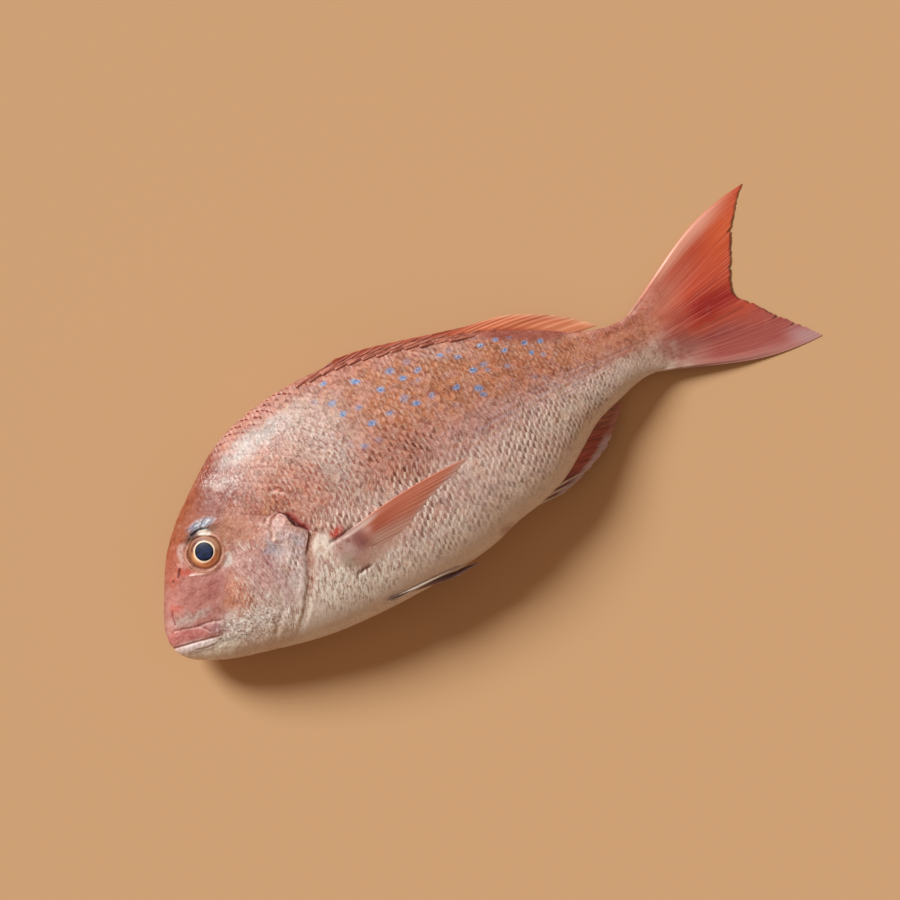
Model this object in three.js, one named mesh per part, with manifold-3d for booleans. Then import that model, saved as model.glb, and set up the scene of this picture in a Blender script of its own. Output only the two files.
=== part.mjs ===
// A whole raw sea bream, ungutted and unscaled, lying on its right side with its left side up.
// The fish is one closed solid, with its fins, gill covers and lips grown out of it, and its two
// eyes are solids of their own that sit in their sockets.
//
// The fish is shaped in its own frame, in millimetres: x runs from the snout to the tail, y from the
// belly to the back, and z is the distance from the fish's middle plane, towards its left side.
// The middle plane is then lifted off the table: level along the trunk, and sinking towards the limp
// tail. What would lie below the table is cut off flat, as the flank that the fish rests on is.
import * as THREE from "three";
import { mergeVertices } from "three/addons/utils/BufferGeometryUtils.js";
import Module from "manifold-3d";

// Driving dimensions, all in millimetres.
const TRUNK_END = 320; // where the flesh ends in the tail fin
const STATIONS = 52; // steps from the snout to the end of the flesh
const AROUND = 36; // steps round each cross-section
const BACK_ROUNDNESS = 1.9; // superellipse power above the widest level
const BELLY_ROUNDNESS = 2.2; // and below it
const EYE = { x: 41.5, y: 29.7, radius: 10, depth: 6.5, bulge: 2.2 };
const EYE_GAP = 0.35;
const NOSTRIL = { x: 23.3, y: 26.8, length: 4.6, width: 1.7, depth: 2.4, lean: 0.65 };
const GILL_COVER_THICKNESS = 2.1;
const LIP_THICKNESS = 1.1;
const MOUTH_GAP = 0.9;
const FIN_ROOT = 3; // how far a fin reaches into the flesh
const FINEST_STEP = 0.03; // detail smaller than this is merged away
const TABLE_MARGIN = 40; // how far the cut under the fish reaches past it
const REAR_EDGE_THICKNESS = 0.45; // of every fin's membrane, at its free edge

const wasm = await Module();
wasm.setup();

// A smooth curve y(x) through a few points, as cubic pieces. With rootSpacing the pieces run in the
// square root of x, which rounds a blunt nose.
function through(points, rootSpacing = false) {
  const warp = (x) => (rootSpacing ? Math.sqrt(Math.max(x, 0)) : x);
  const knots = points.map(([x, y]) => [warp(x), y]);
  const last = knots.length - 1;
  const secant = (i) => (knots[i + 1][1] - knots[i][1]) / (knots[i + 1][0] - knots[i][0]);
  const slope = (i) => {
    if (i === 0) return secant(0);
    if (i === last) return secant(last - 1);
    const before = knots[i][0] - knots[i - 1][0];
    const after = knots[i + 1][0] - knots[i][0];
    return (secant(i - 1) * after + secant(i) * before) / (before + after);
  };
  return (x) => {
    const p = THREE.MathUtils.clamp(warp(x), knots[0][0], knots[last][0]);
    let i = 0;
    while (i < last - 1 && p > knots[i + 1][0]) i += 1;
    const span = knots[i + 1][0] - knots[i][0];
    const t = (p - knots[i][0]) / span;
    const start = knots[i][1] * (1 + 2 * t) * (1 - t) ** 2;
    const end = knots[i + 1][1] * t * t * (3 - 2 * t);
    const leave = slope(i) * span * t * (1 - t) ** 2;
    const arrive = slope(i + 1) * span * t * t * (t - 1);
    return start + end + leave + arrive;
  };
}

// The outline of the flesh from the left: the back, the belly, the level of the greatest width and
// half that width, each along x.
const back = through([
  [0, -2], [1, 4.6], [4, 10.5], [10, 20.3], [23.5, 39.5], [50, 60.3], [80, 76.2], [120, 81.4],
  [160, 76.4], [200, 63.7], [245, 41], [270, 25.2], [290, 19], [303, 18.6], [311, 15], [317, 8],
  [TRUNK_END, -2],
], true);
const belly = through([
  [0, -2], [1, -8], [4, -13.6], [10, -18.7], [40, -32], [85, -44.2], [120, -47.8], [155, -48.5],
  [176, -46.6], [190, -43.4], [207, -41.2], [225, -36.2], [240, -28.2], [253, -21], [270, -16.6],
  [290, -13.8], [303, -15.6], [311, -14], [317, -8.5], [TRUNK_END, -2],
], true);
const widestLevel = through([[0, -2], [12, 2], [40, 9], [110, 19], [190, 12], [250, 6], [290, 2.5], [320, -2]]);
const halfWidth = through([
  [0, 0], [1, 4], [5, 8.6], [15, 12.8], [40, 18.8], [70, 23], [105, 25.2], [140, 25.2], [175, 23.4],
  [205, 20.2], [235, 15.8], [262, 11.6], [290, 8], [306, 5.6], [315, 3.2], [TRUNK_END, 0],
], true);

// The height of the middle plane over the table.
const lift = through([
  [0, 20.6], [60, 22], [110, 22.6], [185, 22.2], [225, 18.8], [260, 13.6], [290, 9.4], [320, 5.4],
  [350, 2.4], [386, 1.1],
]);

// How far the flank stands from the middle plane at a point of the side view.
function flank(x, y) {
  const level = widestLevel(x);
  const above = y > level;
  const reach = above ? back(x) - level : level - belly(x);
  const power = above ? BACK_ROUNDNESS : BELLY_ROUNDNESS;
  const share = Math.min(Math.abs(y - level) / Math.max(reach, 0.01), 1);
  return halfWidth(x) * (1 - share ** power) ** (1 / power);
}

// A closed mesh as a solid, turned right side out if its mapping turned it inside out.
function solidOf(geometry) {
  const bare = geometry.clone();
  bare.deleteAttribute("normal");
  bare.deleteAttribute("uv");
  const merged = mergeVertices(bare, 1e-3);
  const triVerts = new Uint32Array(merged.index.array);
  const vertProperties = merged.attributes.position.array;
  const made = new wasm.Manifold(new wasm.Mesh({ numProp: 3, vertProperties, triVerts }));
  if (made.volume() > 0) return made;
  return new wasm.Manifold(new wasm.Mesh({ numProp: 3, vertProperties, triVerts: triVerts.reverse() }));
}

// Moves every vertex of a geometry to place(u, v, w): u and v from its uv, w its own z.
function remap(geometry, place) {
  const position = geometry.attributes.position;
  const uv = geometry.attributes.uv;
  for (let i = 0; i < position.count; i += 1) {
    const point = place(uv.getX(i), 1 - uv.getY(i), position.getZ(i), position.getX(i), position.getY(i));
    position.setXYZ(i, point.x, point.y, point.z);
  }
  return geometry;
}

// The flesh: a sphere whose parallels become cross-sections and whose poles are snout and tail root.
const stationPlace = through([[0, 0], [0.03, 0.5], [0.09, 4.5], [0.52, 108], [0.93, 306], [1, TRUNK_END]]);

function makeFlesh() {
  const bend = (value, power) => Math.sign(value) * Math.abs(value) ** (2 / power);
  const ball = new THREE.SphereGeometry(1, AROUND, STATIONS);
  return solidOf(remap(ball, (u, v) => {
    const x = THREE.MathUtils.clamp(stationPlace(v), 0, TRUNK_END);
    const angle = u * 2 * Math.PI;
    const up = Math.cos(angle);
    const level = widestLevel(x);
    const reach = up > 0 ? back(x) - level : level - belly(x);
    const power = up > 0 ? BACK_ROUNDNESS : BELLY_ROUNDNESS;
    const y = level + reach * bend(up, power);
    const z = halfWidth(x) * bend(Math.sin(angle), power);
    return new THREE.Vector3(x, y, z);
  }));
}

// A plate that follows the flank: across(s, t) gives its place in the side view for s and t from 0
// to 1, and proud(s, t) how far its face stands off the flesh. Its inner face lies in the flesh.
function makePlate(side, sSteps, tSteps, across, proud) {
  const box = new THREE.BoxGeometry(1, 1, 1, sSteps, tSteps, 1);
  return solidOf(remap(box, (u, v, w, px, py) => {
    const s = px + 0.5;
    const t = py + 0.5;
    const [x, y] = across(s, t);
    const surface = flank(x, y);
    const off = w > 0 ? proud(s, t) : -Math.min(FIN_ROOT, 0.6 * surface);
    return new THREE.Vector3(x, y, side * (surface + off));
  }));
}

const lerp = THREE.MathUtils.lerp;
const smooth = (x) => THREE.MathUtils.smoothstep(x, 0, 1);

// The gill cover: its free edge runs from the top of the gill slit round the spine to the throat.
const GILL_TOP = 29;
const GILL_BOTTOM = -33;
const gillEdge = through([
  [GILL_BOTTOM, 60], [-27, 71], [-20, 79.5], [-10, 87], [0, 92], [9.5, 93.8], [16, 90.6], [24, 87.6],
  [GILL_TOP, 83.5],
]);
const GILL_COVER_LENGTH = 24;
const THROAT_SHARE = 0.3; // of that length, at the throat

function makeGillCover(side) {
  return makePlate(side, 6, 14,
    (s, t) => {
      const y = lerp(GILL_BOTTOM, GILL_TOP, t);
      const length = GILL_COVER_LENGTH * lerp(THROAT_SHARE, 1, smooth(3 * t));
      return [gillEdge(y) - length * (1 - s), y];
    },
    (s, t) => {
      const ends = smooth(Math.min(t, 1 - t) * 7);
      return 0.05 + GILL_COVER_THICKNESS * smooth(s * 1.3) * ends * (s > 0.99 ? 0.8 : 1);
    });
}

// The upper lip: between the groove over it and the gape.
const lipGroove = through([[1, 1.5], [6, 2], [12, -0.6], [20, -3.4], [31, -6.2]]);
const gape = through([[-3, -4.6], [3, -6], [12, -8.3], [20, -10.8], [29, -13.4]]);

function makeLip(side) {
  return makePlate(side, 7, 3,
    (s, t) => {
      const x = lerp(1.5, 29.5, s);
      return [x, lerp(gape(x) + 0.5, lipGroove(x), t)];
    },
    (s, t) => 0.05 + LIP_THICKNESS * Math.sin(Math.PI * t) ** 0.5 * (1 - 0.4 * s));
}

// The shut mouth: a thin wedge right through, from the front of the lips to the corner of the jaw.
function makeGapeCut() {
  const box = new THREE.BoxGeometry(1, 1, 1, 8, 1, 1);
  const width = 2 * halfWidth(40);
  return solidOf(remap(box, (u, v, w, px, py) => {
    const x = lerp(-2, 25, px + 0.5);
    const y = gape(x) + py * MOUTH_GAP * lerp(1.5, 0.5, px + 0.5);
    return new THREE.Vector3(x, y, w * width);
  }));
}

// An oval of given half axes, leaning in the side view, on the flank at x and y.
function makeOval(side, { x, y, length, width, depth, lean }, steps) {
  const oval = new THREE.SphereGeometry(1, steps, steps / 2);
  oval.scale(length / 2, width / 2, depth);
  oval.rotateZ(lean);
  oval.translate(x, y, side * flank(x, y));
  return solidOf(oval);
}

// An eyeball with its axis along z, pushed out of the head by its bulge. The socket is the same
// shape, larger by the gap.
function eyeGeometry(side, gap) {
  const ball = new THREE.SphereGeometry(1, 20, 12);
  ball.scale(EYE.radius + gap, EYE.radius + gap, EYE.depth + gap);
  const face = flank(EYE.x, EYE.y);
  ball.translate(EYE.x, EYE.y, side * (face + EYE.bulge - EYE.depth));
  return ball;
}

// A fin is a sheet of rays. root(r) and tip(r) give the ends of the ray at r, from 0 to 1 along the
// fin, bow(r) how far the ray curves off the straight line between them, in the side view, and
// rayThickness its thickness at the root. Between rays the membrane is thinner.
function makeFin({ rays, along, root, tip, bow = () => 0, stand = () => 0, rayThickness }) {
  const box = new THREE.BoxGeometry(1, 1, 1, 2 * (rays - 1), along, 1);
  return solidOf(remap(box, (u, v, w, px, py) => {
    const r = px + 0.5;
    const t = py + 0.5;
    const start = root(r);
    const end = tip(r);
    const point = start.clone().lerp(end, t);
    const run = end.clone().sub(start);
    const sideways = new THREE.Vector3(-run.y, run.x, 0).normalize();
    point.addScaledVector(sideways, bow(r) * Math.sin(Math.PI * t));
    const onRay = Math.round(r * 2 * (rays - 1)) % 2 === 0;
    const full = lerp(rayThickness, REAR_EDGE_THICKNESS * 1.6, t);
    const thickness = onRay ? full : Math.max(0.45 * full, REAR_EDGE_THICKNESS);
    point.z += stand(r, t, point) + w * thickness;
    return point;
  }));
}

// A curve through points of the side view, given from 0 to 1 along the fin.
function edge(...points) {
  const share = (i) => i / (points.length - 1);
  const along = [0, 1].map((axis) => through(points.map((point, i) => [share(i), point[axis]])));
  return (r) => new THREE.Vector3(along[0](r), along[1](r), 0);
}

// The tail fin: seventeen rays in two lobes, the outer ones bowed, and a fold along the middle.
const TAIL_FOLD = 1.5;
const tailFin = () => makeFin({
  rays: 17,
  along: 6,
  root: edge([302, 17.5], [305, 10], [308, 1], [305, -8], [302, -14.6]),
  tip: edge([384.5, 46.5], [371.5, 34.5], [359.5, 18.5], [350, 0], [357.5, -12.5], [367, -27.5], [378, -43.5]),
  bow: (r) => 5.4 * (1 - 2 * r) ** 3,
  stand: (r, t) => TAIL_FOLD * t * (1 - t) * 4 * Math.cos((r - 0.55) * 9) * Math.exp(-(((r - 0.55) / 0.3) ** 2)),
  rayThickness: 3.2,
});

// The dorsal fin, folded back: twelve spines lie along the back, and ten soft rays stand a little.
const DORSAL_START = 126;
const DORSAL_END = 266;
const dorsalRoot = (r) => {
  const x = lerp(DORSAL_START, DORSAL_END, r);
  return new THREE.Vector3(x, back(x) - FIN_ROOT, 0);
};
const dorsalFin = () => makeFin({
  rays: 22,
  along: 3,
  root: dorsalRoot,
  tip: edge([153, 81.2], [168.5, 78.6], [186, 72.4], [203.5, 65.8], [221, 59.2], [240, 53.4], [257, 43.8],
    [270, 33.6], [279, 24]),
  rayThickness: 2,
});

// The anal fin, folded back under the belly, with its free edge sunk towards the table.
const ANAL_START = 201;
const ANAL_END = 262;
const ANAL_SINK = 5;
const analFin = () => makeFin({
  rays: 11,
  along: 3,
  root: (r) => {
    const x = lerp(ANAL_START, ANAL_END, r);
    return new THREE.Vector3(x, belly(x) + FIN_ROOT, 0);
  },
  tip: edge([218, -43.3], [229, -41.8], [240, -38.6], [250, -34.4], [258, -29.2], [266, -23], [270.5, -19.3]),
  stand: (r, t) => -ANAL_SINK * t,
  rayThickness: 1.8,
});

// A pectoral fin, folded back against the flank, on the left or the right side. It is a plate whose
// rays stand out of its membrane, and both get thinner towards the tips.
const PECTORAL_RAYS = 13;
const PECTORAL_MEMBRANE = 1.1;
const PECTORAL_RAY = 1.1;
const PECTORAL_BOW = 2.8;
function pectoralFin(side) {
  const root = edge([102, -1.8], [104, -6], [105.5, -12], [104, -19.5]);
  const tip = edge([186, 0.6], [183, -1.6], [172, -4.6], [158, -8.4], [147, -12.4], [140, -15.6], [131, -19]);
  return makePlate(side, 2 * (PECTORAL_RAYS - 1), 6,
    (r, t) => {
      const point = root(r).lerp(tip(r), t);
      return [point.x, point.y + PECTORAL_BOW * (1 - r) * Math.sin(Math.PI * t)];
    },
    (r, t) => {
      const onRay = Math.round(r * 2 * (PECTORAL_RAYS - 1)) % 2 === 0;
      return (PECTORAL_MEMBRANE + (onRay ? PECTORAL_RAY : 0)) * (1 - 0.45 * t);
    });
}

// The fleshy root of a pectoral fin.
const PECTORAL_ROOT = { x: 107.5, y: -11, length: 23, width: 20, depth: 3.4, lean: 1.25 };

// A pelvic fin, folded back along the belly.
function pelvicFin(side) {
  const reach = (r, t) => lerp(lerp(7.5, 4.5, r), lerp(9.5, 3.5, r), t);
  return makeFin({
    rays: 6,
    along: 5,
    root: edge([109, -42], [113, -43.4], [118, -44.4]),
    tip: edge([151, -48.9], [161, -51], [146, -51.2]),
    stand: (r, t) => side * reach(r, t),
    rayThickness: 2.2,
  });
}

// Lifts a solid off the table, section by section, as the middle plane is.
const lifted = (solid) => solid.warp((point) => {
  point[2] += lift(point[0]);
});

// The slab of table under the fish, which cuts the flank it rests on flat.
function makeTable() {
  const slab = new THREE.BoxGeometry(400 + 2 * TABLE_MARGIN, 140 + 2 * TABLE_MARGIN, TABLE_MARGIN);
  slab.translate(200, 17, -TABLE_MARGIN / 2);
  return solidOf(slab);
}

function makeFish() {
  const sides = [1, -1];
  const grown = [
    makeFlesh(),
    tailFin(),
    dorsalFin(),
    analFin(),
    ...sides.flatMap((side) => [
      makeGillCover(side),
      makeLip(side),
      makeOval(side, PECTORAL_ROOT, 12),
      pectoralFin(side),
      pelvicFin(side),
    ]),
  ];
  const sunk = [makeGapeCut(), ...sides.map((side) => makeOval(side, NOSTRIL, 10))];
  const sockets = sides.map((side) => solidOf(eyeGeometry(side, EYE_GAP)));
  const whole = grown.reduce((all, piece) => all.add(piece));
  const hollowed = [...sunk, ...sockets].reduce((all, piece) => all.subtract(piece), whole);
  const resting = lifted(hollowed).subtract(makeTable());
  const pieces = resting.simplify(FINEST_STEP).decompose();
  return pieces.sort((a, b) => b.volume() - a.volume())[0];
}

// A named mesh of a solid.
function meshOf(name, solid, material) {
  const { numProp, vertProperties, triVerts } = solid.getMesh();
  const count = vertProperties.length / numProp;
  const places = Float32Array.from({ length: 3 * count }, (unused, i) => (
    vertProperties[Math.floor(i / 3) * numProp + (i % 3)]
  ));
  const geometry = new THREE.BufferGeometry();
  geometry.setAttribute("position", new THREE.BufferAttribute(places, 3));
  geometry.setIndex(new THREE.BufferAttribute(triVerts, 1));
  geometry.computeVertexNormals();
  const mesh = new THREE.Mesh(geometry, material);
  mesh.name = name;
  return mesh;
}

const skin = new THREE.MeshStandardMaterial({ color: 0xc99484, roughness: 0.4, metalness: 0.1 });
const eyeball = new THREE.MeshStandardMaterial({ color: 0x14203c, roughness: 0.1, metalness: 0 });

const bream = new THREE.Group();
bream.add(
  meshOf("fish", makeFish(), skin),
  meshOf("eye_left", lifted(solidOf(eyeGeometry(1, 0))), eyeball),
  meshOf("eye_right", lifted(solidOf(eyeGeometry(-1, 0))), eyeball),
);

// The origin goes to the middle of the outline, on the table.
const middle = new THREE.Box3().setFromObject(bream).getCenter(new THREE.Vector3());
bream.position.set(-middle.x, -middle.y, 0);

export default bream;
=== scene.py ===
import math

import bmesh
import bpy
import numpy as np
from bpy.props import FloatProperty, FloatVectorProperty, PointerProperty
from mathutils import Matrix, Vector

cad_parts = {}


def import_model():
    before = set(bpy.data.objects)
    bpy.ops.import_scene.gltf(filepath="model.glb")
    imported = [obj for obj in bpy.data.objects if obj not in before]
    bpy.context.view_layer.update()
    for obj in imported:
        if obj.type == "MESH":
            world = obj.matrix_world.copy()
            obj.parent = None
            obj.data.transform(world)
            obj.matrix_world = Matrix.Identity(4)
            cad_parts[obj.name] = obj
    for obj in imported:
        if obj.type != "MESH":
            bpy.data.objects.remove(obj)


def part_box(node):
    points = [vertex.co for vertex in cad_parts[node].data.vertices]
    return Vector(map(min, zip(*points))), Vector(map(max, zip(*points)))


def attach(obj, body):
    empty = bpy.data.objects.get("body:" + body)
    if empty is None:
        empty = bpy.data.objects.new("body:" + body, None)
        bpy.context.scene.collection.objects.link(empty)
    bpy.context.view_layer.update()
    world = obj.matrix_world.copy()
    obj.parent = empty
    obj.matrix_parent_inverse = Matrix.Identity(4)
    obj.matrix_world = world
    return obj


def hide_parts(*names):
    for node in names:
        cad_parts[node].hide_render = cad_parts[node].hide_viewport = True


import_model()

bl_info = {
    "name": "Raw sea bream",
    "version": (1, 0, 0),
    "blender": (4, 5, 0),
    "location": "3D View > Sidebar > Bream",
    "description": "Builds a whole raw sea bream that lies on its side",
    "category": "Add Mesh",
}

# The fish is shaped in its own frame, in millimetres: x runs from the snout to the tail, y from the
# belly to the back, and z from the fish's middle plane towards its left side, which lies on top.
MM = 0.001
TAU = 2 * math.pi
LEFT, RIGHT = 1, -1
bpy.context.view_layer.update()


# Curves and noise

def through(points, root_spacing=False):
    """A smooth curve y(x) through a few points. Root spacing rounds a blunt nose."""
    def warp(x):
        return np.sqrt(np.maximum(x, 0.0)) if root_spacing else np.asarray(x, float)

    knots = warp(np.array([p[0] for p in points], float))
    values = np.array([p[1] for p in points], float)
    span = np.diff(knots)
    secant = np.diff(values) / span
    slope = np.empty(len(points))
    slope[0], slope[-1] = secant[0], secant[-1]
    slope[1:-1] = (secant[:-1] * span[1:] + secant[1:] * span[:-1]) / (span[:-1] + span[1:])

    def curve(x):
        p = np.clip(warp(x), knots[0], knots[-1])
        i = np.clip(np.searchsorted(knots, p, side="right") - 1, 0, len(span) - 1)
        t = (p - knots[i]) / span[i]
        start = values[i] * (1 + 2 * t) * (1 - t) ** 2
        end = values[i + 1] * t * t * (3 - 2 * t)
        leave = slope[i] * span[i] * t * (1 - t) ** 2
        arrive = slope[i + 1] * span[i] * t * t * (t - 1)
        return start + end + leave + arrive

    return curve


def edge_curve(*points):
    """A curve through points of the side view, given from 0 to 1 along a fin."""
    shares = np.linspace(0, 1, len(points))
    along_x = through([(s, p[0]) for s, p in zip(shares, points)])
    along_y = through([(s, p[1]) for s, p in zip(shares, points)])
    return lambda r: (along_x(r), along_y(r))


def mix(a, b, t):
    return a + (b - a) * t


def step(low, high, x):
    """Rises smoothly from 0 at low to 1 at high; low may be the larger."""
    t = np.clip((x - low) / (high - low), 0, 1)
    return t * t * (3 - 2 * t)


def noise(x, y, seed=0):
    """Smooth seeded noise from -1 to 1, one bump a unit. The odd numbers only scatter its values."""
    column, row = np.floor(x), np.floor(y)
    fx, fy = x - column, y - row
    fx, fy = fx * fx * (3 - 2 * fx), fy * fy * (3 - 2 * fy)

    def corner(i, j):
        value = np.sin((column + i) * 127.1 + (row + j) * 311.7 + seed * 74.7) * 43758.5453
        return 2 * (value - np.floor(value)) - 1

    top = mix(corner(0, 0), corner(1, 0), fx)
    bottom = mix(corner(0, 1), corner(1, 1), fx)
    return mix(top, bottom, fy)


# The body's shape, as in the part's source, drawn out thinner into the tail fin

TRUNK_END = 320.0
BACK_ROUNDNESS = 1.9
BELLY_ROUNDNESS = 2.2
BACK = through([
    (0, -2), (1, 4.6), (4, 10.5), (10, 20.3), (23.5, 39.5), (50, 60.3), (80, 76.2), (120, 81.4),
    (160, 76.4), (200, 63.7), (245, 41), (270, 25.2), (290, 18.9), (301, 19.6), (308, 20.6), (313, 17.5),
    (317.5, 9), (TRUNK_END, -3),
], True)
BELLY = through([
    (0, -2), (1, -8), (4, -13.6), (10, -18.7), (40, -32), (85, -44.2), (120, -47.8), (155, -48.5),
    (176, -46.6), (190, -43.4), (207, -41.2), (225, -36.2), (240, -28.2), (253, -21), (270, -16.6),
    (290, -13.8), (300, -15.8), (307, -17.4), (312, -15.5), (317, -10), (TRUNK_END, -3),
], True)
WIDEST_LEVEL = through([(0, -2), (12, 2), (40, 9), (110, 19), (190, 12), (250, 6), (290, 2.5), (320, -3)])
HALF_WIDTH = through([
    (0, 0), (1, 4), (5, 8.6), (15, 12.8), (40, 18.8), (70, 23), (105, 25.2), (140, 25.2), (175, 23.4),
    (205, 20.2), (235, 15.8), (262, 11.6), (285, 7.8), (295, 5.0), (300, 3.7), (305, 2.1),
    (311, 0.8), (TRUNK_END, 0),
], True)
LIFT = through([
    (0, 20.6), (60, 22), (110, 22.6), (185, 22.2), (225, 18.8), (260, 13.6), (290, 9.2), (320, 5.0),
    (350, 1.2), (386, -0.2),
])
GILL_TOP = 29.0
GILL_EDGE = through([
    (-44, 52), (-33, 60), (-27, 66.5), (-20, 73), (-14, 77.6), (-8, 81.6), (-3, 84.2), (1.5, 86.8), (5, 89.8),
    (8, 92.4), (10.5, 93.6), (13, 92), (16.5, 89.2), (20, 88.4), (24, 87.6),
    (GILL_TOP, 83.5), (40, 80), (76, 77),
])
GAPE = through([(-3, -4.6), (3, -6), (12, -8.3), (20, -10.8), (29, -13.4)])
LIP_GROOVE = through([(1, 1.5), (6, 2), (12, -0.6), (20, -3.4), (31, -6.2)])
EYE_X, EYE_Y = 41.5, 29.7
EYE_RADIUS = 9.7
EYE_DEPTH = 6.3
EYE_BULGE = 2.1

# Where the fish's own frame lies in the library's, from the solid of the eye that shows
EYE_LOW, EYE_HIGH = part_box("eye_left")
SHIFT_X = (EYE_LOW[0] + EYE_HIGH[0]) / 2 - EYE_X * MM
SHIFT_Y = (EYE_LOW[1] + EYE_HIGH[1]) / 2 - EYE_Y * MM


def flank(x, y):
    """How far the flank stands from the middle plane at a point of the side view."""
    level = WIDEST_LEVEL(x)
    above = y > level
    reach = np.maximum(np.where(above, BACK(x) - level, level - BELLY(x)), 0.01)
    power = np.where(above, BACK_ROUNDNESS, BELLY_ROUNDNESS)
    share = np.minimum(np.abs(y - level) / reach, 1)
    return HALF_WIDTH(x) * (1 - share ** power) ** (1 / power)


def section(x, angle):
    """The y and z of the body's cross-section at x, at an angle from the back's ridge."""
    def bend(value):
        return np.sign(value) * np.abs(value) ** (2 / power)

    up = np.cos(angle)
    power = np.where(up > 0, BACK_ROUNDNESS, BELLY_ROUNDNESS)
    level = WIDEST_LEVEL(x)
    reach = np.where(up > 0, BACK(x) - level, level - BELLY(x))
    return level + reach * bend(up), HALF_WIDTH(x) * bend(np.sin(angle))


SECTION_SLENDERNESS = 2.5
EVEN_ANGLES = np.linspace(0, math.pi, 721)
EVEN_SHARES = np.cumsum(np.hypot(SECTION_SLENDERNESS * np.sin(EVEN_ANGLES), np.cos(EVEN_ANGLES)))
EVEN_SHARES = (EVEN_SHARES - EVEN_SHARES[0]) / (EVEN_SHARES[-1] - EVEN_SHARES[0])


def even_angle(share):
    """The angle down one side at which that share of the way round is done, on a typical section."""
    return np.interp(share, EVEN_SHARES, EVEN_ANGLES)


def around_body(t, left_share):
    """The angle round the section at t, with most of the rows on the side that shows."""
    down = even_angle(np.clip(t / left_share, 0, 1))
    up = even_angle(np.clip((t - left_share) / (1 - left_share), 0, 1))
    return np.where(t <= left_share, down, math.pi + up)


TABLE_SOFTNESS = 1.6  # how gently the flesh meets the table


def world(points):
    """Points of the fish's frame, in metres in the library's frame, with the fish on the table."""
    x, y, z = points.T
    height = z + LIFT(x)
    rounded = (height + TABLE_SOFTNESS) ** 2 / (4 * TABLE_SOFTNESS)
    height = np.where(height > TABLE_SOFTNESS, height, np.where(height < -TABLE_SOFTNESS, 0, rounded))
    return np.stack([x * MM + SHIFT_X, y * MM + SHIFT_Y, height * MM], 1)


# The lattice of scales. Rows lie half a scale apart, and every other row is shifted by half a scale.

SCALE_PITCH = through([
    (0, 2.4), (40, 3), (75, 4.2), (110, 5), (150, 5.2), (200, 4.8), (240, 4.2), (280, 3.5), (320, 3.2),
])
SCALE_BULGE = 0.55
PITCH_STEPS = np.arange(0, TRUNK_END + 1, 0.5)
PITCH_COUNTS = np.concatenate([[0], np.cumsum(0.5 / SCALE_PITCH(PITCH_STEPS[:-1] + 0.25))])
GIRTH_X = np.linspace(0, TRUNK_END, 81)
GIRTH_ANGLES = np.linspace(0, math.pi, 181)


def girth_table():
    """The distance along the skin from the widest level, for stations along x and angles round."""
    y, z = section(GIRTH_X[:, None], GIRTH_ANGLES[None, :])
    steps = np.hypot(np.diff(y, axis=1), np.diff(z, axis=1))
    total = np.concatenate([np.zeros((len(GIRTH_X), 1)), np.cumsum(steps, axis=1)], axis=1)
    return total[:, [len(GIRTH_ANGLES) // 2]] - total


GIRTH = girth_table()


def scale_column(x):
    return np.interp(x, PITCH_STEPS, PITCH_COUNTS)


def column_x(count):
    return np.interp(count, PITCH_COUNTS, PITCH_STEPS)


def girth(x, angle):
    """The distance along the skin from the widest level, upwards, on either side."""
    angle = np.where(angle > math.pi, TAU - angle, angle)
    i = np.clip(x / TRUNK_END * (len(GIRTH_X) - 1), 0, len(GIRTH_X) - 1.001)
    j = np.clip(angle / math.pi * (len(GIRTH_ANGLES) - 1), 0, len(GIRTH_ANGLES) - 1.001)
    i0, j0 = i.astype(int), j.astype(int)
    fi, fj = i - i0, j - j0
    front = mix(GIRTH[i0, j0], GIRTH[i0, j0 + 1], fj)
    rear = mix(GIRTH[i0 + 1, j0], GIRTH[i0 + 1, j0 + 1], fj)
    return mix(front, rear, fi)


def scale_places(x, angle):
    """The place in the lattice of scales, slightly uneven: u counts columns and v counts rows."""
    u = scale_column(x)
    v = 2 * girth(x, angle) / SCALE_PITCH(x)
    return u + 0.22 * noise(u / 2.1, v / 3.6, 3), v + 0.4 * noise(u / 2.4, v / 4.4, 4)


def scale_ahead(u, v):
    """How far in front of its rear edge the scale that shows at u, v is cut there, in columns."""
    best_centre = np.full(u.shape, np.inf)
    best_ahead = np.zeros(u.shape)
    for row in (np.floor(v), np.floor(v) + 1):
        shift = 0.5 * np.mod(row, 2)
        bulge = SCALE_BULGE * (1 - (v - row) ** 2)
        centre = np.ceil(u - bulge - shift) + shift
        nearer = centre < best_centre
        best_ahead = np.where(nearer, centre + bulge - u, best_ahead)
        best_centre = np.where(nearer, centre, best_centre)
    return best_ahead


# Colours

def colour(red, green, blue):
    """A colour from its values as a picture shows them, from 0 to 255."""
    values = np.array([red, green, blue], float) / 255
    return np.where(values <= 0.04045, values / 12.92, ((values + 0.055) / 1.055) ** 2.4)


ROSE = colour(190, 108, 96)
DEEP_ROSE = colour(150, 58, 46)
BROWN_RED = colour(138, 60, 38)
LILAC = colour(184, 142, 146)
PALE_LILAC = colour(208, 178, 176)
ORANGE = colour(186, 119, 82)
GOLD = colour(176, 122, 76)
CREAM = colour(236, 218, 206)
WHITE = colour(236, 226, 214)
BEIGE = colour(226, 200, 192)
FLESH = colour(198, 142, 120)
RUST = colour(174, 104, 80)
DARK = colour(52, 28, 24)
BLUE_GREY = colour(118, 134, 168)
MAUVE = colour(168, 116, 110)
ASH = colour(192, 172, 166)
SILVER = colour(206, 206, 200)
STROKE = colour(250, 232, 220)


def paint(shade):
    """The colour of a shade that is given as a picture's three values, or as a colour already."""
    return colour(*shade) if isinstance(shade, tuple) else shade


def tinted(shade, count):
    return np.tile(paint(shade), (count, 1))


def blend(first, second, share):
    """A shade at each point, from the first where the share is 0 to the second where it is 1."""
    return mix(paint(first), paint(second), share[:, None])


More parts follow.
